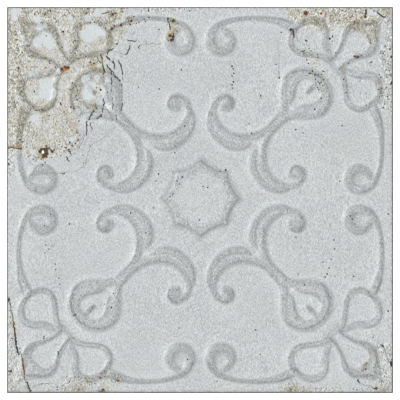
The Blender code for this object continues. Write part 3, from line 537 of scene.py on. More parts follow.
# Pits and black specks in the glaze: across, up and radius
PITS = (
    (-70.8, 87.1, 0.8), (-92.0, 76.4, 0.5), (-79.6, 68.6, 0.5), (-74.9, 68.6, 0.4), (-85.8, 56.1, 0.5),
    (-26.7, 98.5, 0.6), (-26.5, 97.8, 0.5), (-21.2, 88.3, 0.5), (-51.4, 57.1, 0.9), (-43.0, 80.9, 0.7),
    (-79.6, 85.0, 0.4), (-81.6, 80.3, 0.3), (-32.9, 91.4, 0.4), (-31.5, 92.0, 0.5), (-28.9, 93.6, 0.5),
    (-28.2, 92.5, 0.4), (-26.3, 94.4, 0.5), (-34.2, 94.8, 0.4), (-32.6, 93.5, 0.3), (-56.7, 91.9, 0.4),
    (-54.6, 92.0, 0.5), (-55.7, 93.2, 0.3), (-69.9, 95.8, 0.4), (-74.9, 94.0, 0.4), (-75.6, 94.6, 0.3),
    (-88.4, 79.8, 0.5), (-88.5, 74.4, 0.4), (-97.8, 78.5, 0.3), (-99.7, 76.4, 0.5), (-64.8, 82.4, 0.4),
    (-65.6, 81.8, 0.4), (-64.5, 75.9, 0.4), (-62.7, 73.1, 0.4), (-59.1, 74.4, 0.4), (-64.2, 78.5, 0.4),
    (-71.3, 79.0, 0.4), (-77.9, 71.7, 0.4), (-77.9, 70.8, 0.3), (-94.0, 67.6, 0.4), (-66.0, 60.5, 0.5),
    (-64.0, 58.9, 0.4), (-67.1, 57.1, 0.4), (-63.3, 56.5, 0.3), (-53.6, 58.1, 0.4), (-47.9, 55.8, 0.4),
    (-45.8, 60.2, 0.5), (-46.0, 56.5, 0.4), (-46.7, 67.9, 0.4), (-45.9, 65.1, 0.5), (-53.1, 71.5, 0.3),
    (-43.6, 63.9, 0.4), (-42.5, 63.2, 0.4), (-41.7, 61.9, 0.3), (-72.2, 50.2, 0.6), (-72.0, 49.4, 0.6),
    (-66.8, 48.0, 0.6), (-65.4, 47.4, 0.5), (-70.4, 45.5, 0.5), (-81.7, 46.6, 0.5), (-83.1, 46.7, 0.3),
    (-84.4, 46.4, 0.3), (-63.6, 51.8, 0.5), (-64.0, 53.9, 0.4), (-99.7, 50.0, 0.6), (-95.7, 49.2, 0.4),
    (-95.7, 47.9, 0.4), (-96.1, 50.5, 0.4), (-99.5, 43.5, 0.6), (-98.9, 46.6, 0.3), (-78.0, 43.7, 0.4),
    (-88.0, 40.2, 0.4), (-74.1, 40.8, 0.3), (-67.4, 29.9, 0.7), (-64.4, 29.2, 0.5), (-66.1, 28.2, 0.5),
    (-63.0, 31.1, 0.5), (-62.2, 33.4, 0.4), (-69.9, 27.2, 0.4), (-69.1, 27.1, 0.4), (-71.5, 27.5, 0.4),
    (-70.3, 25.4, 0.4), (-72.0, 22.9, 0.4), (-67.2, 25.1, 0.4), (-76.7, 22.0, 0.4), (-83.5, 22.1, 0.4),
    (-82.1, 21.1, 0.3), (-88.8, 22.6, 0.4), (-80.1, 19.4, 0.4), (-81.3, 18.1, 0.4), (-85.0, 20.2, 0.3),
    (-86.4, 20.9, 0.3), (-97.1, 25.5, 0.4), (-98.7, 18.3, 0.4), (-60.5, 23.1, 0.3), (-60.3, 19.2, 0.3),
    (-74.1, 30.6, 0.3), (-72.5, 30.3, 0.3), (-72.8, 28.7, 0.3), (-86.2, 48.4, 0.3), (-63.7, 35.1, 0.4),
    (-68.9, 40.3, 0.3), (-62.8, 40.9, 0.4), (-93.0, 58.0, 0.4), (-94.3, 58.2, 0.4), (-97.8, 62.2, 0.3),
    (-95.9, 60.1, 0.3), (-93.9, 52.3, 0.3), (-96.8, 34.2, 0.3), (-93.0, 34.7, 0.4), (-93.0, 31.1, 0.4),
    (67.2, 83.5, 0.8), (68.6, 85.0, 0.4), (68.6, 84.3, 0.3), (68.4, 82.2, 0.4), (54.7, 82.7, 0.6),
    (55.3, 82.2, 0.5), (46.6, 88.1, 0.5), (48.4, 87.0, 0.5), (70.2, 76.3, 0.4), (56.5, 78.5, 0.4),
    (57.5, 77.3, 0.4), (53.3, 77.0, 0.5), (53.7, 75.9, 0.4), (54.2, 77.4, 0.3), (61.0, 73.9, 0.5),
    (60.9, 75.1, 0.4), (56.2, 70.6, 0.4), (55.2, 72.5, 0.3), (58.2, 66.7, 0.7), (57.1, 65.5, 0.5),
    (56.4, 65.6, 0.3), (59.4, 64.6, 0.5), (61.4, 64.8, 0.4), (63.6, 66.8, 0.5), (64.2, 66.4, 0.4),
    (62.9, 65.0, 0.4), (59.8, 62.4, 0.4), (61.1, 60.9, 0.4), (62.0, 60.1, 0.5), (60.9, 58.1, 0.5),
    (61.5, 57.2, 0.4), (62.7, 52.7, 0.6), (59.4, 46.9, 0.6), (62.7, 60.9, 0.4), (63.6, 59.2, 0.3),
    (94.8, 75.9, 0.6), (95.6, 76.8, 0.4), (93.5, 76.7, 0.4), (96.1, 79.4, 0.4), (98.2, 78.0, 0.5),
    (92.9, 64.8, 0.4), (93.7, 63.5, 0.5), (97.1, 53.4, 0.5), (97.2, 52.3, 0.4), (98.3, 64.5, 0.4),
    (96.1, 71.5, 0.3), (95.4, 72.8, 0.3), (97.4, 70.7, 0.3), (96.3, 58.0, 0.3), (94.8, 47.9, 0.5),
    (95.6, 49.7, 0.4), (99.2, 68.4, 0.4), (98.9, 60.6, 0.4), (99.2, 54.4, 0.5), (96.8, 64.8, 0.3),
    (96.6, 67.3, 0.3), (93.5, 55.2, 0.4), (93.9, 57.8, 0.4), (92.3, 57.2, 0.4), (94.3, 53.9, 0.4),
    (98.7, 74.1, 0.4), (88.3, 71.1, 0.4), (76.9, 70.7, 0.4), (74.4, 62.4, 0.6), (75.5, 55.5, 0.5),
    (86.0, 49.0, 0.4), (82.9, 61.6, 0.3), (82.9, 55.4, 0.3), (86.0, 55.2, 0.3), (73.8, 98.1, 0.5),
    (78.0, 94.5, 0.5), (78.7, 95.1, 0.4), (90.1, 97.7, 0.4), (-80.7, -70.6, 0.5), (-80.8, -71.6, 0.5),
    (-73.4, -78.6, 0.6), (-73.3, -79.6, 0.5), (-64.5, -59.3, 0.6), (-65.5, -59.8, 0.3),
    (-45.8, -55.6, 0.5), (-44.8, -48.4, 0.4), (-49.5, -53.9, 0.3), (-73.9, -96.9, 0.4),
    (-73.8, -98.2, 0.4), (-97.4, -71.6, 0.4), (-97.9, -63.7, 0.4), (-93.4, -76.9, 0.4),
    (-93.9, -80.0, 0.5), (-93.0, -78.7, 0.4), (94.5, -75.6, 0.6), (81.8, -93.5, 0.7), (89.5, -71.1, 0.4),
    (98.9, -84.4, 0.6), (81.3, -98.2, 0.4), (47.1, -97.9, 0.4), (90.1, -97.6, 0.5), (89.9, -86.5, 0.3),
    (79.3, -97.9, 0.3), (13.3, 15.5, 0.8), (26.7, 34.5, 0.5), (-0.3, -10.4, 0.5), (4.0, 6.5, 0.5),
    (-21.4, 13.5, 0.6), (-35.9, -6.7, 0.5), (-7.8, 38.3, 0.5), (16.6, 69.2, 0.7), (17.2, 67.9, 0.5),
    (17.5, 65.5, 0.6), (16.6, 64.2, 0.5), (17.3, 61.1, 0.7), (16.6, 59.6, 0.6), (16.8, 57.9, 0.5),
    (31.4, 53.9, 0.6), (49.6, 36.5, 0.5), (53.4, 34.7, 0.4), (73.6, 38.5, 0.5), (25.4, 39.5, 0.4),
    (72.4, 9.8, 0.4), (-67.6, -12.4, 0.5), (-77.2, -7.3, 0.4), (-80.5, -13.2, 0.4), (-28.0, -17.1, 0.5),
    (-79.8, -23.3, 0.4), (-78.2, -25.4, 0.4), (-76.1, -23.8, 0.3), (-80.3, -27.5, 0.3),
    (-74.9, -33.2, 0.4), (-74.6, -36.0, 0.4), (-73.0, -40.4, 0.4), (-72.5, -43.5, 0.4),
    (-45.8, -55.4, 0.4), (-10.9, -66.3, 0.4), (-6.5, -82.4, 0.5), (-23.8, -4.1, 0.4), (65.8, -38.3, 0.6),
    (64.8, -39.9, 0.5), (66.8, -35.2, 0.5), (63.7, -32.1, 0.4), (67.9, -30.6, 0.4), (69.9, -39.4, 0.4),
    (69.4, -20.7, 0.5), (69.7, -25.4, 0.5), (49.7, -19.2, 0.4), (50.8, -38.3, 0.4), (28.7, -67.3, 0.5),
    (54.2, -44.0, 0.5), (31.1, -79.8, 0.4), (8.8, -93.8, 0.4), (79.6, -39.6, 0.5), (1.6, 7.0, 0.4),
    (-9.1, 11.9, 0.6), (-11.9, 9.8, 0.5), (-10.4, 8.3, 0.4), (-14.0, 3.1, 0.4), (-15.5, 1.8, 0.4),
    (10.4, 14.8, 0.4), (-13.0, 24.6, 0.4), (-22.8, 9.8, 0.4), (-5.4, 97.9, 0.5), (-9.6, 67.3, 0.5),
    (-21.1, 57.5, 0.5), (-31.9, 58.5, 0.4), (97.4, -57.5, 0.6), (97.4, -7.3, 0.5), (77.7, -8.3, 0.6),
    (78.7, -9.8, 0.5), (39.4, 70.2, 0.4), (41.1, 63.3, 0.7), (42.0, 86.8, 0.5), (88.9, 71.5, 0.4),
)

# Pits: how deep they are, how much of the radius is black and how far the rim fades
PIT_DEPTH = 0.22
PIT_CORE = 0.54
PIT_FADE = 0.2
PIT_CORE_POINTS = 6
PIT_RIM_POINTS = 8

# Stains that get rings of points, at these shares of the radius, and how they fade
RINGED_SPOTS = ("umber", "soot", "rust", "pale")
SPOT_SHARES = (0.0, 0.7, 1.05, 1.45)
SPOT_FADE = 0.75
TINT_EDGE = (0.4, 1.3)

# Cracks: how deep and dark each kind is, how much of the width it takes and how it bends
CRACK_DEPTH = {"dark": 0.12, "brown": 0.16, "faint": 0.03}
CRACK_INK = {"dark": 0.9, "brown": 1.0, "faint": 0.3}
CRACK_SHARES = (0.0, -1.0, 1.0)
CRACK_REACH = 0.55
CRACK_SWAY = 0.18
CRACK_SEED = 7
WARM_START = 1.3
WARM_REACH = 1.2
HALO_REACH = 2.2

# Worn glaze: how far inside or outside a patch still counts, how deep the loss is and where it begins
CLIP = 6.0
LOST_DEPTH = 0.10
LOST_EDGE = (-0.6, 0.8)
ISLAND_OUTER = 0.6
ISLAND_INNER = 0.8

# How closely the face's points lie, in millimetres
CURVE_STEP = 1.0
LINE_STEP = 1.5
CURVE_TURN = math.radians(12)
RIB_STEP = 0.8
RIB_TURN = math.radians(14)
RIB_SHARES = (0.0, 0.3, 0.52, 0.75, 1.0, 1.25, 1.5)
RIB_END_STEP = 0.6
STAR_RINGS = (-0.3, 0.1, 0.5, 0.9, 1.3, 1.7, 2.4, 3.4, 4.6, 5.8, 7.0)
STAR_RING_POINTS = 22
GROUND_STEP = 2.4
WORN_STEP = 1.2
WORN_MARGIN = 2.0
ROW_SHARE = 0.87
SCATTER = 0.12
SCATTER_SEED = 3
CRACK_STEP = 0.55
SPOT_STEP = 0.45

# The closest that points of each kind come to others, and to the face's edge
MARK_CLOSEST = 0.13
CLOSEST = 0.27
WORN_CLOSEST = 0.62
GROUND_CLOSEST = 1.15
MARK_MARGIN = 0.3
RIB_MARGIN = 0.45
GROUND_MARGIN = 0.5
ROW_MARGIN = 0.3
EIGHTH_MARGIN = 0.6

# Only a rib's points that show are kept: those this near the height of all ribs together
SEEN_SHARE = 0.75
SEEN_DROP = 0.02
ALWAYS_SEEN = 9.0

# The view, the floor and the light
FRAME_WIDTH = 207.25
LENS = 200.0
SENSOR = 36.0
VIEW_DEPTH = 20.0
FLOOR_HALF_WIDTH = 1500.0
FLOOR_OPENING = 98.0
FLOOR_GREY = 0.9
FLOOR_GLOW = 0.45
STUDIO_LIGHT = 1.03
KEY_LIGHT = 1.4
KEY_SOFTNESS = math.radians(16)
KEY_HEIGHT = math.radians(30)
KEY_TURN = math.radians(163)
SMOOTH_ANGLE = math.radians(40)


def smooth_step(low, high, value):
    """0 up to low, 1 from high on, and soft between."""
    share = np.clip((value - low) / (high - low), 0.0, 1.0)
    return share * share * (3.0 - 2.0 * share)


def fade(low, high, value):
    """1 up to low, 0 from high on, and soft between."""
    return 1.0 - smooth_step(low, high, value)


def distances(points, middle):
    return np.linalg.norm(points - middle, axis=1)


def edge_reach(points):
    """How far from the tile's middle lines each point lies, along the longer of its two ways."""
    return np.abs(points).max(axis=1)


def smooth_curve(points, longest, sharpest):
    """Points (across, down, half width) on the smooth curve through a rib's own points, and its ways."""
    points = np.array(points)
    ends = np.vstack([2 * points[0] - points[1], points, 2 * points[-1] - points[-2]])
    found = []
    ways = []
    for i in range(1, len(ends) - 2):
        before, start, stop, after = ends[i - 1:i + 3]
        leave = (stop - before)[:2]
        arrive = (after - start)[:2]
        bend = abs(math.atan2(leave[0] * arrive[1] - leave[1] * arrive[0], leave @ arrive))
        length = np.linalg.norm((stop - start)[:2])
        count = max(1, math.ceil(length / longest), math.ceil(bend / sharpest))
        square = 2 * before - 5 * start + 4 * stop - after
        cube = 3 * start - before - 3 * stop + after
        last = i == len(ends) - 3
        for k in range(count + last):
            t = k / count
            found.append(start + 0.5 * ((stop - before) * t + square * t ** 2 + cube * t ** 3))
            ways.append((stop - before) + 2 * square * t + 3 * cube * t ** 2)
    ways = np.array(ways)[:, :2]
    return np.array(found), ways / np.linalg.norm(ways, axis=1)[:, None]


def star_corners():
    """The star's two neighbouring points in the eighth."""
    return np.array((0.0, STAR_LONG_POINT)), np.array((1.0, 1.0)) * STAR_DIAGONAL_POINT / math.sqrt(2)


def star_side():
    """The middle and radius of the circle that one hollow side of the star follows."""
    first, last = star_corners()
    half_chord = np.linalg.norm(last - first) / 2
    radius = (half_chord ** 2 + STAR_SIDE_SAG ** 2) / (2 * STAR_SIDE_SAG)
    along = (last - first) / (2 * half_chord)
    outward = np.array((-along[1], along[0]))
    return (first + last) / 2 + outward * (radius - STAR_SIDE_SAG), radius


def inside_star(points):
    """How far inside the star's outline each point of the eighth lies."""
    middle, radius = star_side()
    inside = distances(points, middle) - radius
    reach = np.linalg.norm(points, axis=1)
    far = reach > STAR_LONG_POINT + STAR_STEP_WIDTH
    inside[far] = STAR_LONG_POINT - reach[far]
    return inside


def star_height(inside):
    """The star rises in a soft step to its rim and sinks to a shallow dish."""
    rise = smooth_step(STAR_STEP_START, STAR_STEP_WIDTH, inside)
    sink = smooth_step(STAR_RIM_WIDTH, STAR_DISH_WIDTH, inside)
    return RELIEF * (STAR_RIM_HEIGHT - (STAR_RIM_HEIGHT - STAR_FLOOR_HEIGHT) * sink) * rise


def star_shade(points, inside):
    """The star's grey rim and its dark outline, partly print and partly painted shade on the foot and flank
    of its step, darkest at its eight points.
    """
    def line(depth, middle, reach):
        return depth * fade(0.0, reach, np.abs(inside - middle))

    first, last = star_corners()
    tip = np.minimum(distances(points, first), distances(points, last))
    near_tip = np.exp(-((tip / STAR_TIP_REACH) ** 2))
    # The outline: print, with painted shade on the star's step.
    shade = line(*STAR_PRINT_AND_SHADE_LINE) * (1.0 - STAR_TIP_EASE * near_tip) + line(*STAR_TIP_PRINT_AND_SHADE_LINE) * near_tip
    shade += STAR_GREY * smooth_step(*STAR_GREY_START, inside) * fade(*STAR_GREY_END, inside)
    return shade - STAR_FLOOR_LIGHT * smooth_step(*STAR_FLOOR_EDGE, inside)


def rib_reading(points, curve):
    """For each point, its distance to a rib's middle line and the rib's half width there."""
    distance = np.full(len(points), 1e9)
    half_width = np.ones(len(points))
    for start, stop in zip(curve[:-1], curve[1:]):
        along = (stop - start)[:2]
        share = np.clip((points - start[:2]) @ along / (along @ along), 0.0, 1.0)
        nearest = start + share[:, None] * (stop - start)
        own = np.linalg.norm(points - nearest[:, :2], axis=1)
        closer = own / nearest[:, 2] < distance / half_width
        distance[closer] = own[closer]
        half_width[closer] = nearest[closer, 2]
    return distance, half_width


def rib_height(rise, share, half_width):
    """A soft bead, lower where the rib is narrow."""
    crown = RELIEF * rise * (np.maximum(half_width, 0.0) / FULL_HALF_WIDTH) ** NARROW_POWER
    return crown * fade(CROWN_SHARE, FOOT_SHARE, share)


def both_sides(across, down):
    """A place of the eighth and its mirror image across the diagonal."""
    return ((across, down),) if across == down else ((across, down), (down, across))


def face_reading(points, curves, lines=()):
    """The height, tone and rib share of points of the eighth (across, down); the tone is the glaze's own with
    print, plus painted shade and painted highlight by the ribs.
    """
    inside = inside_star(points)
    outside = -inside
    powered = star_height(inside) ** BLEND_POWER
    tone = 1.0 - star_shade(points, inside)
    ribbed = smooth_step(*STAR_GREY_START, inside) * fade(*STAR_RIBBED_END, inside)
    for name, (rise, curve) in curves.items():
        distance, half_width = rib_reading(points, curve)
        share = distance / half_width
        powered += rib_height(rise, share, half_width) ** BLEND_POWER
        tone -= RIB_GREY[name] * np.interp(share, GREY_SHARES, GREY_FALL)
        ribbed = np.maximum(ribbed, fade(*RIBBED_SHARES, share))
        outside = np.minimum(outside, distance - half_width)
    # Dark lines along the ribs: print, with painted shade on their steep flanks and feet.
    for depth, curve in lines:
        distance, half_width = rib_reading(points, curve)
        tone -= depth * fade(LINE_CORE, 1.0, distance / half_width)
    height = powered ** (1.0 / BLEND_POWER)
    # Painted highlight: the glaze is made lighter just beside the ribs and the star.
    for light, middle, width in RIB_HIGHLIGHTS:
        tone += light * np.exp(-(((outside - middle) / width) ** 2))
    for across, down, radius, light in POOLS:
        for middle in both_sides(across, down):
            tone += light * fade(POOL_CORE, 1.0, distances(points, middle) / radius)
    for across, down, radius, depth, light in HOLLOWS:
        for middle in both_sides(across, down):
            bowl = fade(0.0, 1.0, distances(points, middle) / radius) * (1.0 - ribbed)
            height -= depth * bowl
            tone += light * bowl
    return height, np.maximum(tone, DARKEST_TONE), ribbed


def eased(points):
    """How far the mould's drift moves each point."""
    reach = np.minimum(1.0, np.linalg.norm(points, axis=1) / DRIFT_REACH)
    inner = np.clip((FACE_EDGE - edge_reach(points)) / BORDER_EASE, 0.0, 1.0)
    middle = (1.0 - reach ** DRIFT_FALL)[:, None] * np.array(MIDDLE_DRIFT)
    return (np.array(BORDER_DRIFT) + middle) * inner[:, None]


def undrifted(points):
    """Where the mould's own drawing has what lies at these points of the tile."""
    drawn = points.copy()
    for _ in range(DRIFT_ROUNDS):
        drawn = points - eased(drawn)
    return drawn


def folded(points):
    """Points of the whole face laid over its one drawn eighth."""
    return np.sort(np.abs(points), axis=1)


def line_distance(points, line):
    """The distance from each point to a line of straight stretches."""
    found = np.full(len(points), 1e9)
    for start, stop in zip(line[:-1], line[1:]):
        along = stop - start
        share = np.clip((points - start) @ along / max(along @ along, 1e-9), 0.0, 1.0)
        found = np.minimum(found, np.linalg.norm(points - start - share[:, None] * along, axis=1))
    return found


def patch_depth(points, outline):
    """How far inside an outline each point lies, below 0 outside it."""
    outline = np.array(outline)
    inside = np.zeros(len(points), bool)
    for start, stop in zip(outline, np.roll(outline, -1, axis=0)):
        crosses = (start[1] > points[:, 1]) != (stop[1] > points[:, 1])
        rise = stop[1] - start[1]
        if rise:
            where = start[0] + (points[:, 1] - start[1]) * (stop[0] - start[0]) / rise
            inside ^= crosses & (points[:, 0] < where)
    distance = line_distance(points, np.vstack([outline, outline[:1]]))
    return np.where(inside, distance, -distance)


def deepest(points, outlines):
    """How far inside any of the outlines each point lies, held within CLIP."""
    found = np.full(len(points), -CLIP)
    for outline in outlines:
        found = np.maximum(found, patch_depth(points, outline))
    return np.clip(found, -CLIP, CLIP)


def wear_depth(points):
    """How far inside a worn patch each point lies, below 0 where the glaze is whole."""
    worn = deepest(points, WORN_PATCHES)
    for across, up, radius in WHOLE_ISLANDS:
        worn = np.minimum(worn, distances(points, (across, up)) - radius)
    return np.clip(worn, -CLIP, CLIP)


def rub_depth(points):
    return deepest(points, RUBBED_PATCHES)


def wandered(points, rng, step, sway):
    """A crack's line with small random bends."""
    points = np.array(points, float)
    lengths = np.linalg.norm(np.diff(points, axis=0), axis=1)
    total = np.concatenate([[0.0], np.cumsum(lengths)])
    count = max(2, int(round(total[-1] / step)))
    along = np.linspace(0.0, total[-1], count + 1)
    line = np.column_stack([np.interp(along, total, points[:, k]) for k in (0, 1)])
    shake = rng.normal(0.0, sway, (count + 1, 2))
    line[1:-1] += shake[1:-1]
    return line


def crack_lines():
    rng = np.random.default_rng(CRACK_SEED)
    return [(kind, width, wandered(points, rng, CRACK_STEP, CRACK_SWAY)) for kind, width, points in CRACKS]


def beside(line, offset):
    """A line drawn at a distance beside another."""
    ways = np.gradient(line, axis=0)
    ways /= np.maximum(np.linalg.norm(ways, axis=1), 1e-9)[:, None]
    return line + offset * np.column_stack([-ways[:, 1], ways[:, 0]])


def spokes(turns):
    return np.column_stack([np.cos(turns), np.sin(turns)])


def circle(count):
    return spokes(np.arange(count) * 2 * math.pi / count)


def rib_rows(rise, points):
    """Rows of points along a rib and round its ends, each with the bead's height there."""
    curve, ways = smooth_curve(points, RIB_STEP, RIB_TURN)
    sides = np.column_stack([-ways[:, 1], ways[:, 0]])
    for share in RIB_SHARES:
        for sign in ((1,) if share == 0.0 else (1, -1)):
            own = curve[:, :2] + sides * (curve[:, 2] * share * sign)[:, None]
            yield own, rib_height(rise, np.full(len(curve), share), curve[:, 2])
    for end, way in ((curve[0], -ways[0]), (curve[-1], ways[-1])):
        for share in RIB_SHARES[1:]:
            count = max(3, int(math.pi * end[2] * share / RIB_END_STEP))
            turns = np.arange(1, count) * math.pi / count - math.pi / 2
            own = end[:2] + spokes(math.atan2(way[1], way[0]) + turns) * end[2] * share
            yield own, rib_height(rise, np.full(count - 1, share), np.full(count - 1, end[2]))


def star_rows():
    """Rows of points that follow one side of the star."""
    middle, radius = star_side()
    first, last = (math.atan2(*(corner - middle)[::-1]) for corner in star_corners())
    for inside in STAR_RINGS:
        ring = middle + (radius + inside) * spokes(np.linspace(first, last, STAR_RING_POINTS))
        yield ring, np.full(len(ring), ALWAYS_SEEN)


def rib_points(curves):
    """The points that carry the relief on one eighth."""
    rows = [row for rise, points in RIBS.values() for row in rib_rows(rise, points)]
    rows.extend(star_rows())
    points = np.vstack([own for own, _ in rows])
    crowns = np.concatenate([crown for _, crown in rows])
    kept = (points[:, 0] >= 0.0) & (points[:, 1] >= points[:, 0]) & (points[:, 1] < FACE_EDGE - EIGHTH_MARGIN)
    points, crowns = points[kept], crowns[kept]
    height, _, _ = face_reading(points, curves)
    return points[crowns > SEEN_SHARE * height - SEEN_DROP]


def crowded(points, closest):
    """The cells that points already fill, for thinning others against them."""
    cells = {}
    for x, y in points:
        cells.setdefault((int(x // closest), int(y // closest)), []).append((x, y))
    return cells


def thinned(points, closest, cells):
    """The points in order, without those too close to an earlier one or to one in the cells."""
    kept = []
    for k, (x, y) in enumerate(points):
        column, row = int(x // closest), int(y // closest)
        near = (
            (x - other_x) ** 2 + (y - other_y) ** 2 < closest * closest
            for i in (column - 1, column, column + 1) for j in (row - 1, row, row + 1)
            for other_x, other_y in cells.get((i, j), ())
        )
        if not any(near):
            cells.setdefault((column, row), []).append((x, y))
            kept.append(k)
    return points[kept]


def spread(step):
    """Evenly staggered points over the face, a little unevenly placed."""
    rng = np.random.default_rng(SCATTER_SEED)
    found = []
    for k, row in enumerate(np.arange(-FACE_EDGE + step / 2, FACE_EDGE, step * ROW_SHARE)):
        across = np.arange(-FACE_EDGE + step * (0.5 + 0.5 * (k % 2)), FACE_EDGE - ROW_MARGIN, step)
        found.append(np.column_stack([across, np.full(len(across), row)]))
    found = np.vstack(found)
    found += rng.uniform(-SCATTER, SCATTER, found.shape) * step
    return found[edge_reach(found) < FACE_EDGE - GROUND_MARGIN]


def pit_rings():
    """Each pit's middle, the edge of its black core and its rim."""
    for across, up, radius in PITS:
        yield ((across, up),)
        yield (across, up) + circle(PIT_CORE_POINTS) * radius * PIT_CORE
        yield (across, up) + circle(PIT_RIM_POINTS) * (radius * PIT_CORE + PIT_FADE)


def spot_rings():
    for kind in RINGED_SPOTS:
        for across, up, radius in SPOTS[kind]:
            for share in SPOT_SHARES:
                count = max(1, int(2 * math.pi * share * radius / SPOT_STEP))
                yield (across, up) + circle(count) * radius * share


def mark_points(cracks):
    """Points along the cracks, their middles first, and over the pits and stains."""
    lines = [beside(line, share * width * CRACK_REACH) for share in CRACK_SHARES for _, width, line in cracks]
    marks = np.vstack([*lines, *pit_rings(), *spot_rings()])
    return thinned(marks[edge_reach(marks) < FACE_EDGE - MARK_MARGIN], MARK_CLOSEST, {})


def relief_points(curves):
    """The eighth's points mirrored over the whole face and moved with the mould."""
    eighth = rib_points(curves)
    whole = np.vstack([
        own * (across_sign, up_sign)
        for own in (eighth, eighth[:, ::-1]) for across_sign in (1, -1) for up_sign in (1, -1)
    ])
    whole = whole + eased(whole)
    return whole[edge_reach(whole) < FACE_EDGE - RIB_MARGIN]


def rim_points():
    """The points of the face's four sides, which the slab shares."""
    side = np.linspace(-FACE_EDGE, FACE_EDGE, RIM_CUTS + 1)
    edge = np.full(RIM_CUTS, FACE_EDGE)
    return np.vstack([
        np.column_stack([side[:-1], -edge]), np.column_stack([edge, side[:-1]]),
        np.column_stack([side[1:], edge]), np.column_stack([-edge, side[1:]]),
    ])


def face_points(curves, cracks):
    """All points of the face, the most exact ones first."""
    rim = rim_points()
    marks = mark_points(cracks)
    close = np.vstack([marks, thinned(relief_points(curves), CLOSEST, crowded(marks, CLOSEST))])
    worn = spread(WORN_STEP)
    worn = worn[np.maximum(wear_depth(worn), rub_depth(worn)) > -WORN_MARGIN]
    worn = thinned(worn, WORN_CLOSEST, crowded(np.vstack([close, rim]), WORN_CLOSEST))
    crowd = crowded(np.vstack([close, rim, worn]), GROUND_CLOSEST)
    return np.vstack([rim, close, worn, thinned(spread(GROUND_STEP), GROUND_CLOSEST, crowd)])


def undulation(points):
    wave = sum(share * np.sin(points @ (across, up) + start) for share, across, up, start in WAVES)
    return WAVE_HEIGHT * wave * np.clip((FACE_EDGE - edge_reach(points)) / WAVE_EASE, 0.0, 1.0)


def surface_fields(flat, curves, lines, cracks):
    """The height of the face at each point, and what the material reads there."""
    height, tone, ribbed = face_reading(folded(undrifted(flat)), curves, lines)
    fields = {"tone": tone, "ribbed": ribbed, "worn": wear_depth(flat), "rubbed": rub_depth(flat)}
    for name in ("ink", "warmth", "halo", "pitted", "whole", *SPOTS, *TINTS):
        fields[name] = np.zeros(len(flat))
    groove = np.zeros(len(flat))

    def raise_to(name, values):
        fields[name] = np.maximum(fields[name], values)

    for kind, width, line in cracks:
        distance = line_distance(flat, line)
        profile = np.clip(1.0 - distance / (width * CRACK_REACH), 0.0, 1.0)
        raise_to("ink", CRACK_INK[kind] * profile)
        groove = np.maximum(groove, CRACK_DEPTH[kind] * profile)
        if kind == "brown":
            raise_to("warmth", np.clip(WARM_START - distance / WARM_REACH, 0.0, 1.0))
            raise_to("halo", np.clip(1.0 - distance / HALO_REACH, 0.0, 1.0))
    for across, up, radius in PITS:
        rim = radius * PIT_CORE + PIT_FADE
        raise_to("pitted", np.clip((rim - distances(flat, (across, up))) / PIT_FADE, 0.0, 1.0))
    for kind, spots in SPOTS.items():
        for across, up, radius in spots:
            share = distances(flat, (across, up)) / radius
            raise_to(kind, np.clip((SPOT_SHARES[-1] - share) / SPOT_FADE, 0.0, 1.0))
    for kind, patches in TINTS.items():
        for across, up, radius, strength in patches:
            raise_to(kind, strength * fade(*TINT_EDGE, distances(flat, (across, up)) / radius))
    for across, up, radius in WHOLE_ISLANDS:
        distance = distances(flat, (across, up))
        raise_to("whole", smooth_step(radius + ISLAND_OUTER, radius - ISLAND_INNER, distance))
    lost = LOST_DEPTH * smooth_step(*LOST_EDGE, fields["worn"])
    z = BODY_THICKNESS + height + undulation(flat) - groove - PIT_DEPTH * fields["pitted"] - lost
    return z, fields


def write_fields(mesh, fields):
    for name, values in fields.items():
        layer = mesh.attributes.new(name, "FLOAT", "POINT")
        layer.data.foreach_set("value", values.astype(np.float32))


def linked(name, data):
    """A new object in the scene."""
    made = bpy.data.objects.new(name, data)
    bpy.context.collection.objects.link(made)
    return made


def add_face(curves, lines, cracks):
    """The moulded face as a sheet that ends where the arris begins."""
    points = face_points(curves, cracks)
    found, _, faces, _, _, _ = delaunay_2d_cdt([Vector(point) for point in points], [], [], 0, 1e-5)
    flat = np.array([tuple(point) for point in found])
    z, fields = surface_fields(flat, curves, lines, cracks)
    z[edge_reach(flat) > FACE_EDGE - 1e-6] = BODY_THICKNESS
    mesh = bpy.data.meshes.new("tile_face")
    mesh.from_pydata((np.column_stack([flat, z]) * MM).tolist(), [], faces)
    write_fields(mesh, fields)
    return linked("tile_face", mesh)


def add_rim():
    """A grid of the face's size of which only the outer edge is left, in edit mode."""
    bpy.ops.object.select_all(action="DESELECT")
    bpy.ops.mesh.primitive_grid_add(
        x_subdivisions=RIM_CUTS, y_subdivisions=RIM_CUTS, size=2 * FACE_EDGE * MM,
        location=(0, 0, BODY_THICKNESS * MM),
    )
    slab = bpy.context.object
    slab.name = "tile_slab"
    bpy.ops.object.transform_apply(location=True, rotation=True, scale=True)
    bpy.ops.object.mode_set(mode="EDIT")
    mesh = bmesh.from_edit_mesh(slab.data)
    for vert in mesh.verts:
        vert.select = max(abs(vert.co.x), abs(vert.co.y)) < (FACE_EDGE - RIM_BAND) * MM
    mesh.select_flush(True)
    mesh.select_flush(False)
    bmesh.update_edit_mesh(slab.data)
    bpy.ops.mesh.delete(type="VERT")
    bpy.ops.mesh.select_all(action="SELECT")
    bpy.ops.mesh.delete(type="ONLY_FACE")
    return slab


def slab_rings():
    """The slab's half width and height at each ring, from the face's edge down to the back."""
    for step in range(1, ARRIS_STEPS + 1):
        turn = math.pi / 2 * step / ARRIS_STEPS
        drop = ARRIS_RADIUS * (1 - math.cos(turn))
        yield FACE_EDGE + ARRIS_RADIUS * math.sin(turn), BODY_THICKNESS - drop
    yield HALF_SIDE, BODY_THICKNESS * 0.5
    yield HALF_SIDE, BACK_CHAMFER
    yield HALF_SIDE - BACK_CHAMFER, 0.0


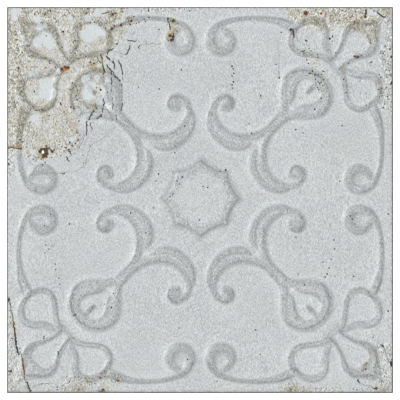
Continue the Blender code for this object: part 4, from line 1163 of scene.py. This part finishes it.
def add_slab():
    """The arris, edges, back chamfer and back, drawn out from a grid's rim."""
    slab = add_rim()
    reach, height = FACE_EDGE, BODY_THICKNESS
    for new_reach, new_height in slab_rings():
        bpy.ops.mesh.select_all(action="DESELECT")
        mesh = bmesh.from_edit_mesh(slab.data)
        for edge in mesh.edges:
            level = all(abs(vert.co.z - height * MM) < 1e-7 for vert in edge.verts)
            edge.select = level and len(edge.link_faces) < 2
        mesh.select_flush(True)
        bmesh.update_edit_mesh(slab.data)
        bpy.ops.mesh.extrude_edges_move(
            MESH_OT_extrude_edges_indiv={},
            TRANSFORM_OT_translate={"value": (0, 0, (new_height - height) * MM)},
        )
        share = new_reach / reach
        bpy.ops.transform.resize(value=(share, share, 1.0), center_override=(0, 0, 0))
        reach, height = new_reach, new_height
    bpy.ops.mesh.edge_face_add()
    bpy.ops.mesh.select_all(action="SELECT")
    bpy.ops.mesh.normals_make_consistent(inside=False)
    bpy.ops.object.mode_set(mode="OBJECT")
    return slab


def add_tile():
    """Face and slab made one closed piece."""
    curves = {
        name: (rise, smooth_curve(points, CURVE_STEP, CURVE_TURN)[0]) for name, (rise, points) in RIBS.items()
    }
    lines = [(depth, smooth_curve(points, LINE_STEP, CURVE_TURN)[0]) for depth, points in PRINT_AND_SHADE_LINES]
    cracks = crack_lines()
    face = add_face(curves, lines, cracks)
    slab = add_slab()
    places = np.array([tuple(vert.co)[:2] for vert in slab.data.vertices]) / MM
    _, fields = surface_fields(np.clip(places, -FACE_EDGE, FACE_EDGE), curves, lines, cracks)
    write_fields(slab.data, fields)
    bpy.ops.object.select_all(action="DESELECT")
    slab.select_set(True)
    face.select_set(True)
    bpy.context.view_layer.objects.active = face
    bpy.ops.object.join()
    bpy.ops.object.mode_set(mode="EDIT")
    bpy.ops.mesh.select_all(action="SELECT")
    bpy.ops.mesh.remove_doubles(threshold=0.00001)
    bpy.ops.mesh.normals_make_consistent(inside=False)
    bpy.ops.object.mode_set(mode="OBJECT")
    face.name = face.data.name = "tile_piece"
    bpy.ops.object.shade_smooth_by_angle(angle=SMOOTH_ANGLE)
    return face


class Shading:
    """A small helper that adds and joins a material's nodes."""

    def __init__(self, name):
        self.material = bpy.data.materials.new(name)
        self.material.use_nodes = True
        self.tree = self.material.node_tree
        self.shader = self.tree.nodes["Principled BSDF"]
        self.place = self.node("ShaderNodeTexCoord").outputs["Object"]

    def node(self, kind, **settings):
        made = self.tree.nodes.new(kind)
        for name, value in settings.items():
            setattr(made, name, value)
        return made

    def join(self, value, socket):
        if isinstance(value, bpy.types.NodeSocket):
            self.tree.links.new(value, socket)
        else:
            socket.default_value = value

    def math(self, kind, *values):
        made = self.node("ShaderNodeMath", operation=kind)
        for value, socket in zip(values, made.inputs):
            self.join(value, socket)
        return made.outputs[0]

    def chain(self, kind, first, others):
        for other in others:
            first = self.math(kind, first, other)
        return first

    def plus(self, first, *others):
        return self.chain("ADD", first, others)

    def minus(self, first, second):
        return self.math("SUBTRACT", first, second)

    def by(self, first, *others):
        return self.chain("MULTIPLY", first, others)

    def most(self, first, *others):
        return self.chain("MAXIMUM", first, others)

    def rest(self, share):
        """What a share leaves of 1."""
        return self.minus(1.0, share)

    def swing(self, noise, amount):
        """Noise as a change around nothing."""
        return self.by(self.minus(noise, 0.5), amount)

    def noise(self, size, detail=2.0, stretch=(1.0, 1.0, 1.0), rough=0.5, shift=0.0):
        """Noise from 0 to 1 whose grains are size millimetres across."""
        place = self.node("ShaderNodeMapping")
        self.join(self.place, place.inputs["Vector"])
        place.inputs["Scale"].default_value = [1.0 / (size * MM * k) for k in stretch]
        place.inputs["Location"].default_value = [shift * way for way in SHIFT_WAY]
        made = self.node("ShaderNodeTexNoise")
        self.join(place.outputs[0], made.inputs["Vector"])
        made.inputs["Scale"].default_value = 1.0
        made.inputs["Detail"].default_value = detail
        made.inputs["Roughness"].default_value = rough
        return made.outputs["Fac"]

    def step(self, value, low, high):
        """0 at low, 1 at high, and soft between."""
        made = self.node("ShaderNodeMapRange", interpolation_type="SMOOTHSTEP")
        for given, socket in zip((value, low, high, 0.0, 1.0), made.inputs):
            self.join(given, socket)
        return made.outputs[0]

    def field(self, name):
        """What surface_fields wrote on the mesh."""
        return self.node("ShaderNodeAttribute", attribute_name=name).outputs["Fac"]

    def mix(self, share, first, second):
        made = self.node("ShaderNodeMix", data_type="RGBA")
        self.join(share, made.inputs[0])
        for value, socket in ((first, made.inputs[6]), (second, made.inputs[7])):
            self.join(value if isinstance(value, bpy.types.NodeSocket) else (*value, 1.0), socket)
        return made.outputs[2]

    def lit(self, colour, light):
        """A colour made lighter or darker."""
        made = self.node("ShaderNodeVectorMath", operation="SCALE")
        self.join(colour, made.inputs[0])
        self.join(light, made.inputs["Scale"])
        return made.outputs[0]

    def blend(self, value, low, high):
        """An even change between two colours, each with the value that it stands at."""
        made = self.node("ShaderNodeValToRGB")
        self.join(value, made.inputs[0])
        for element, (at, colour) in zip(made.color_ramp.elements, (low, high)):
            element.position = at
            element.color = (*colour, 1.0)
        return made.outputs[0]

    def bump(self, height, distance):
        made = self.node("ShaderNodeBump")
        made.inputs["Strength"].default_value = 1.0
        made.inputs["Distance"].default_value = distance
        self.join(height, made.inputs["Height"])
        self.join(made.outputs[0], self.shader.inputs["Normal"])


# The colours of the whole glaze, and of the body that shows where it is worn
GLAZE = (0.450, 0.470, 0.476)
GLAZE_GREEN = (0.448, 0.474, 0.466)
GLAZE_VIOLET = (0.453, 0.467, 0.480)
GLAZE_WHOLE = (0.520, 0.552, 0.560)
WORN_COOL = (0.490, 0.500, 0.490)
WORN_CREAM = (0.455, 0.440, 0.385)
WORN_OLIVE = (0.330, 0.320, 0.245)

# Dirt and stains: the field each one lies by, its colour and how much it covers
DIRTS = (("olive", (0.285, 0.27, 0.185), 0.75), ("brown", (0.27, 0.225, 0.155), 0.75))
STAINS = (
    ("ochre", (0.37, 0.275, 0.14), 0.75), ("rust", (0.40, 0.135, 0.05), 0.9),
    ("umber", (0.05, 0.028, 0.010), 0.98), ("soot", (0.03, 0.026, 0.02), 0.97),
    ("pale", (0.95, 0.92, 0.84), 1.0),
)
STAIN_EDGE = (0.32, 0.68)
STAIN_REACH = (0.0, 0.12)
STAIN_FRAY = 0.9
STAIN_GRAIN = 0.8
OCHRE_PATCHES = (0.36, 0.58)
SPECKS = (0.10, 0.085, 0.055)
CRACK_GREY = (0.014, 0.014, 0.013)
CRACK_BROWN = (0.040, 0.025, 0.010)
CRACK_HALO = (0.52, 0.45, 0.32)
INK_FRAY = 0.8
INK_REACH = (0.0, 0.15)
INK_EDGE = (0.10, 0.48)

# The arris, darker at the bottom and right with painted shade, and the bare body below the glaze
ARRIS = (0.055, 0.053, 0.047)
# painted shade: the arris's colour on its bottom and right sides, which face away from the light
ARRIS_PAINTED_SHADE = (0.034, 0.032, 0.027)
LOWER_STAIN = (0.27, 0.25, 0.20)
BODY_DARK = (0.50, 0.43, 0.34)
BODY_PALE = (0.62, 0.56, 0.47)
BODY_SHADOW = (0.47, 0.41, 0.33)
BUMP_DEPTH = 0.00007

# The noises of the glaze: grain is the finest and cloud the widest
NOISES = {
    "grain": {"size": 0.30, "detail": 0.0, "stretch": (1.0, 3.0, 1.0)},
    "tatter": {"size": 1.0, "rough": 0.6, "shift": 37.0},
    "mottle": {"size": 1.25, "detail": 1.5, "rough": 0.6, "stretch": (1.0, 1.6, 1.0), "shift": 71.0},
    "coarse": {"size": 1.5, "detail": 1.0, "stretch": (1.0, 1.5, 1.0), "shift": 21.0},
    "ragged": {"size": 3.4, "detail": 3.0, "rough": 0.65, "shift": 31.0},
    "tint": {"size": 9.0, "shift": 15.0},
    "cloud": {"size": 22.0, "shift": 8.0},
    "foot": {"size": 7.0, "detail": 3.0, "shift": 60.0},
    "clay": {"size": 1.6, "detail": 3.0, "shift": 50.0},
}
SHIFT_WAY = (1.0, 0.7, 0.3)

# Bands of the tile in metres: the height where the glaze ends on the sides, and distances from the middle
GLAZE_FOOT = (0.0070, 0.0066)
FOOT_WAVER = 0.0008
DIRTY_BORDER = (0.085, 0.095)
BORDER_WAVER = 0.02
ARRIS_BAND = (0.09925, 0.0995)
ARRIS_WAVER = 0.0006
LOWER_BAND = (0.0982, 0.0994)
LOWER_WAVER = 0.003
# where the painted shade on the bottom and right of the arris begins
ARRIS_SHADE_BAND = (0.0988, 0.0994)

# How the worn, rubbed and whole places begin, and how ragged their edges are
WORN_EDGE = (-0.6, 0.4)
RUBBED_EDGE = (-0.8, 1.2)
WHOLE_EDGE = (0.3, 0.7)
EDGE_RAGGED = 4.0
EDGE_TATTER = 2.5
WHOLE_TATTER = 0.8
RUBBED_SHARE = 0.8
WHOLE_CALM = 0.85

# How light the grain and clouds make the glaze, and how dark its small hollows are
GRAIN_LIGHT = 1.05
COARSE_LIGHT = 0.4
CLOUD_LIGHT = 0.18
RIB_GRAIN = 0.5
WORN_GRAIN = 0.45
BORDER_GRAIN = 1.2
WHOLE_GRAIN = 0.6
HOLLOW_EDGE = (0.36, 0.28)
HOLLOW_DARK = 0.22
WHOLE_TONE = 0.6
DARKEST_LIGHT = 0.08


class TileGlaze(Shading):
    """The worn glaze. Each method lays one more coat over the colour so far."""

    def __init__(self):
        super().__init__("worn_glaze")
        for name, settings in NOISES.items():
            setattr(self, name, self.noise(**settings))
        self.ribbed = self.field("ribbed")
        axes = self.node("ShaderNodeSeparateXYZ")
        self.join(self.place, axes.inputs[0])
        self.across, self.up, height = axes.outputs
        self.bare_body = self.step(self.plus(height, self.swing(self.foot, FOOT_WAVER)), *GLAZE_FOOT)
        self.reach = self.most(self.math("ABSOLUTE", self.across), self.math("ABSOLUTE", self.up))
        self.border = self.step(self.plus(self.reach, self.swing(self.ragged, BORDER_WAVER)), *DIRTY_BORDER)
        self.find_wear()

    def find_wear(self):
        """Where the glaze is gone, rubbed thin or kept whole."""
        edge = self.plus(self.swing(self.ragged, EDGE_RAGGED), self.swing(self.tatter, EDGE_TATTER))
        self.bare = self.step(self.plus(self.field("worn"), edge), *WORN_EDGE)
        self.thin = self.step(self.plus(self.field("rubbed"), edge), *RUBBED_EDGE)
        whole = self.plus(self.field("whole"), self.swing(self.tatter, WHOLE_TATTER))
        self.whole = self.step(whole, *WHOLE_EDGE)
        dirty = self.most(self.field("olive"), self.field("brown"))
        rough_skin = self.most(self.bare, self.most(self.by(self.thin, RUBBED_SHARE), dirty))
        rough_skin = self.by(rough_skin, self.rest(self.by(self.whole, WHOLE_CALM)))
        self.rough_skin = self.by(rough_skin, self.rest(self.bare_body))

    def clouded(self):
        """The glaze itself, with greenish and violet clouds."""
        colour = self.mix(self.step(self.tint, 0.52, 0.68), GLAZE, GLAZE_GREEN)
        colour = self.mix(self.step(self.tint, 0.46, 0.32), colour, GLAZE_VIOLET)
        return self.mix(self.whole, colour, GLAZE_WHOLE)

    def worn(self, colour):
        """Rubbed and worn places: the body shows cool and cream, mottled with olive, under soft dirt."""
        cream = self.step(self.plus(self.ragged, self.swing(self.coarse, 0.6)), 0.40, 0.58)
        body = self.mix(cream, WORN_COOL, WORN_CREAM)
        level = self.plus(self.mottle, self.by(self.border, 0.09), self.by(self.ribbed, 0.07))
        body = self.mix(self.by(self.step(level, 0.50, 0.70), 0.85), body, WORN_OLIVE)
        colour = self.mix(self.by(self.bare, 0.85), colour, body)
        colour = self.mix(self.by(self.thin, 0.5, self.step(self.coarse, 0.42, 0.58)), colour, body)
        for name, dirt, cover in DIRTS:
            mask = self.by(self.field(name), self.plus(1.0, self.swing(self.ragged, 1.6)), cover)
            colour = self.mix(self.by(mask, self.step(self.tatter, 0.30, 0.55)), colour, dirt)
        return colour

    def grained(self, colour):
        """The tone of the relief and a fine upright grain, strongest where the glaze is worn."""
        amount = self.plus(
            self.math("MULTIPLY_ADD", self.ribbed, RIB_GRAIN, 1.0),
            self.by(self.rough_skin, self.math("MULTIPLY_ADD", self.border, BORDER_GRAIN, WORN_GRAIN)),
        )
        amount = self.minus(amount, self.by(self.whole, WHOLE_GRAIN))
        light = self.plus(
            self.math("MULTIPLY_ADD", self.swing(self.grain, GRAIN_LIGHT), amount, 1.0),
            self.by(self.swing(self.coarse, COARSE_LIGHT), self.most(self.ribbed, self.rough_skin)),
            self.by(self.swing(self.cloud, CLOUD_LIGHT), self.rest(self.whole)),
        )
        light = self.minus(light, self.by(self.step(self.tatter, *HOLLOW_EDGE), HOLLOW_DARK))
        tone = self.field("tone")
        tone = self.math("MULTIPLY_ADD", self.rest(tone), self.by(self.whole, WHOLE_TONE), tone)
        return self.lit(colour, self.most(self.by(light, tone), DARKEST_LIGHT))

    def stained(self, colour):
        """Dark specks in the worn skin, and the stains."""
        speckle = self.plus(self.by(self.grain, 0.55), self.by(self.tatter, 0.45))
        speckle = self.by(self.step(speckle, 0.385, 0.33), self.rough_skin, 0.8)
        colour = self.mix(speckle, colour, SPECKS)
        frays = self.plus(self.swing(self.tatter, STAIN_FRAY), self.swing(self.grain, STAIN_GRAIN))
        for name, stain, cover in STAINS:
            field = self.field(name)
            mask = self.by(self.step(self.plus(field, frays), *STAIN_EDGE), self.step(field, *STAIN_REACH))
            if name == "ochre":
                mask = self.by(mask, self.step(self.mottle, *OCHRE_PATCHES))
            colour = self.mix(self.by(mask, cover), colour, stain)
        return colour

    def cracked(self, colour):
        """Cracks with their brown halos, and pits."""
        halo = self.by(self.field("halo"), self.step(self.grain, 0.35, 0.6), 0.7)
        colour = self.mix(halo, colour, CRACK_HALO)
        drawn = self.field("ink")
        ink = self.plus(drawn, self.plus(self.swing(self.tatter, INK_FRAY), self.swing(self.grain, INK_FRAY)))
        ink = self.by(ink, self.step(drawn, *INK_REACH))
        ink = self.step(self.most(ink, self.field("pitted")), *INK_EDGE)
        return self.mix(ink, colour, self.mix(self.field("warmth"), CRACK_GREY, CRACK_BROWN))

    def edged(self, colour):
        """The glaze thins over the arris, where the body shows dark, most of all at the bottom and right: a
        stain along the bottom, and painted shade on the bottom and right sides, which are turned from the
        light.
        """
        self.arris = self.step(self.plus(self.reach, self.swing(self.tatter, ARRIS_WAVER)), *ARRIS_BAND)
        down = self.by(self.up, -1.0)
        lower = self.step(self.plus(down, self.swing(self.ragged, LOWER_WAVER)), *LOWER_BAND)
        colour = self.mix(self.by(lower, 0.45), colour, LOWER_STAIN)
        # painted shade: the bottom and right of the arris are drawn darker, where they face away from the
        # light
        painted_shade = self.step(self.most(self.across, down), *ARRIS_SHADE_BAND)
        dark = self.mix(painted_shade, ARRIS, ARRIS_PAINTED_SHADE)
        return self.mix(self.arris, colour, self.lit(dark, self.plus(1.0, self.swing(self.ragged, 1.2))))

    def bodied(self, colour):
        """The bare body of the sides and back."""
        body = self.blend(self.clay, (0.3, BODY_DARK), (0.7, BODY_PALE))
        body = self.mix(self.step(self.ragged, 0.45, 0.7), body, BODY_SHADOW)
        return self.mix(self.bare_body, colour, body)

    def surfaced(self):
        """Roughness, gloss and the fine relief of the skin."""
        rough = self.plus(self.math("MULTIPLY_ADD", self.bare, 0.30, 0.40), self.swing(self.coarse, 0.2))
        self.join(self.most(rough, self.by(self.bare_body, 0.85)), self.shader.inputs["Roughness"])
        gloss = self.by(self.rest(self.most(self.arris, self.bare_body)), 0.5)
        self.join(gloss, self.shader.inputs["Specular IOR Level"])
        relief = self.by(self.grain, self.math("MULTIPLY_ADD", self.rough_skin, 1.2, 0.4))
        self.bump(self.plus(relief, self.by(self.coarse, 0.5)), BUMP_DEPTH)


def glaze():
    look = TileGlaze()
    colour = look.clouded()
    for coat in (look.worn, look.grained, look.stained, look.cracked, look.edged, look.bodied):
        colour = coat(colour)
    look.join(colour, look.shader.inputs["Base Color"])
    look.surfaced()
    return look.material


def pale_floor():
    material = bpy.data.materials.new("pale_floor")
    material.use_nodes = True
    shader = material.node_tree.nodes["Principled BSDF"]
    shader.inputs["Base Color"].default_value = (FLOOR_GREY, FLOOR_GREY, FLOOR_GREY, 1.0)
    shader.inputs["Roughness"].default_value = 0.9
    shader.inputs["Specular IOR Level"].default_value = 0.0
    shader.inputs["Emission Color"].default_value = (1.0, 1.0, 1.0, 1.0)
    shader.inputs["Emission Strength"].default_value = FLOOR_GLOW
    return material


def add_floor():
    """A wide plain floor, left open under the tile so that its back can be seen from below."""
    corners = ((-1, -1), (1, -1), (1, 1), (-1, 1))
    reaches = (FLOOR_HALF_WIDTH * MM, FLOOR_OPENING * MM)
    places = [(x * reach, y * reach, 0.0) for reach in reaches for x, y in corners]
    sides = [(k, (k + 1) % 4, 4 + (k + 1) % 4, 4 + k) for k in range(4)]
    mesh = bpy.data.meshes.new("floor")
    mesh.from_pydata(places, [], sides)
    mesh.materials.append(pale_floor())
    floor = linked("floor", mesh)


def add_light():
    key = bpy.data.lights.new("key", "SUN")
    key.energy = KEY_LIGHT
    key.angle = KEY_SOFTNESS
    level = math.cos(KEY_HEIGHT)
    towards = Vector((math.cos(KEY_TURN) * level, math.sin(KEY_TURN) * level, math.sin(KEY_HEIGHT)))
    linked("key", key).rotation_euler = towards.to_track_quat("Z", "Y").to_euler()
    world = bpy.data.worlds.new("studio")
    world.use_nodes = True
    background = world.node_tree.nodes["Background"]
    background.inputs["Color"].default_value = (1.0, 1.0, 1.0, 1.0)
    background.inputs["Strength"].default_value = STUDIO_LIGHT
    bpy.context.scene.world = world


def add_camera():
    """Straight above the tile, so high that the frame is FRAME_WIDTH wide at its edges."""
    data = bpy.data.cameras.new("camera")
    data.lens = LENS
    data.sensor_width = SENSOR
    data.clip_end = VIEW_DEPTH
    camera = linked("camera", data)
    camera.location = (0.0, 0.0, (BODY_THICKNESS - ARRIS_RADIUS + FRAME_WIDTH * LENS / SENSOR) * MM)
    bpy.context.scene.camera = camera
    bpy.context.scene.view_settings.view_transform = "Standard"


add_light()
add_camera()
add_floor()
tile = add_tile()
tile.data.materials.clear()
tile.data.materials.append(glaze())
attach(tile, "root")
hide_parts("tile")
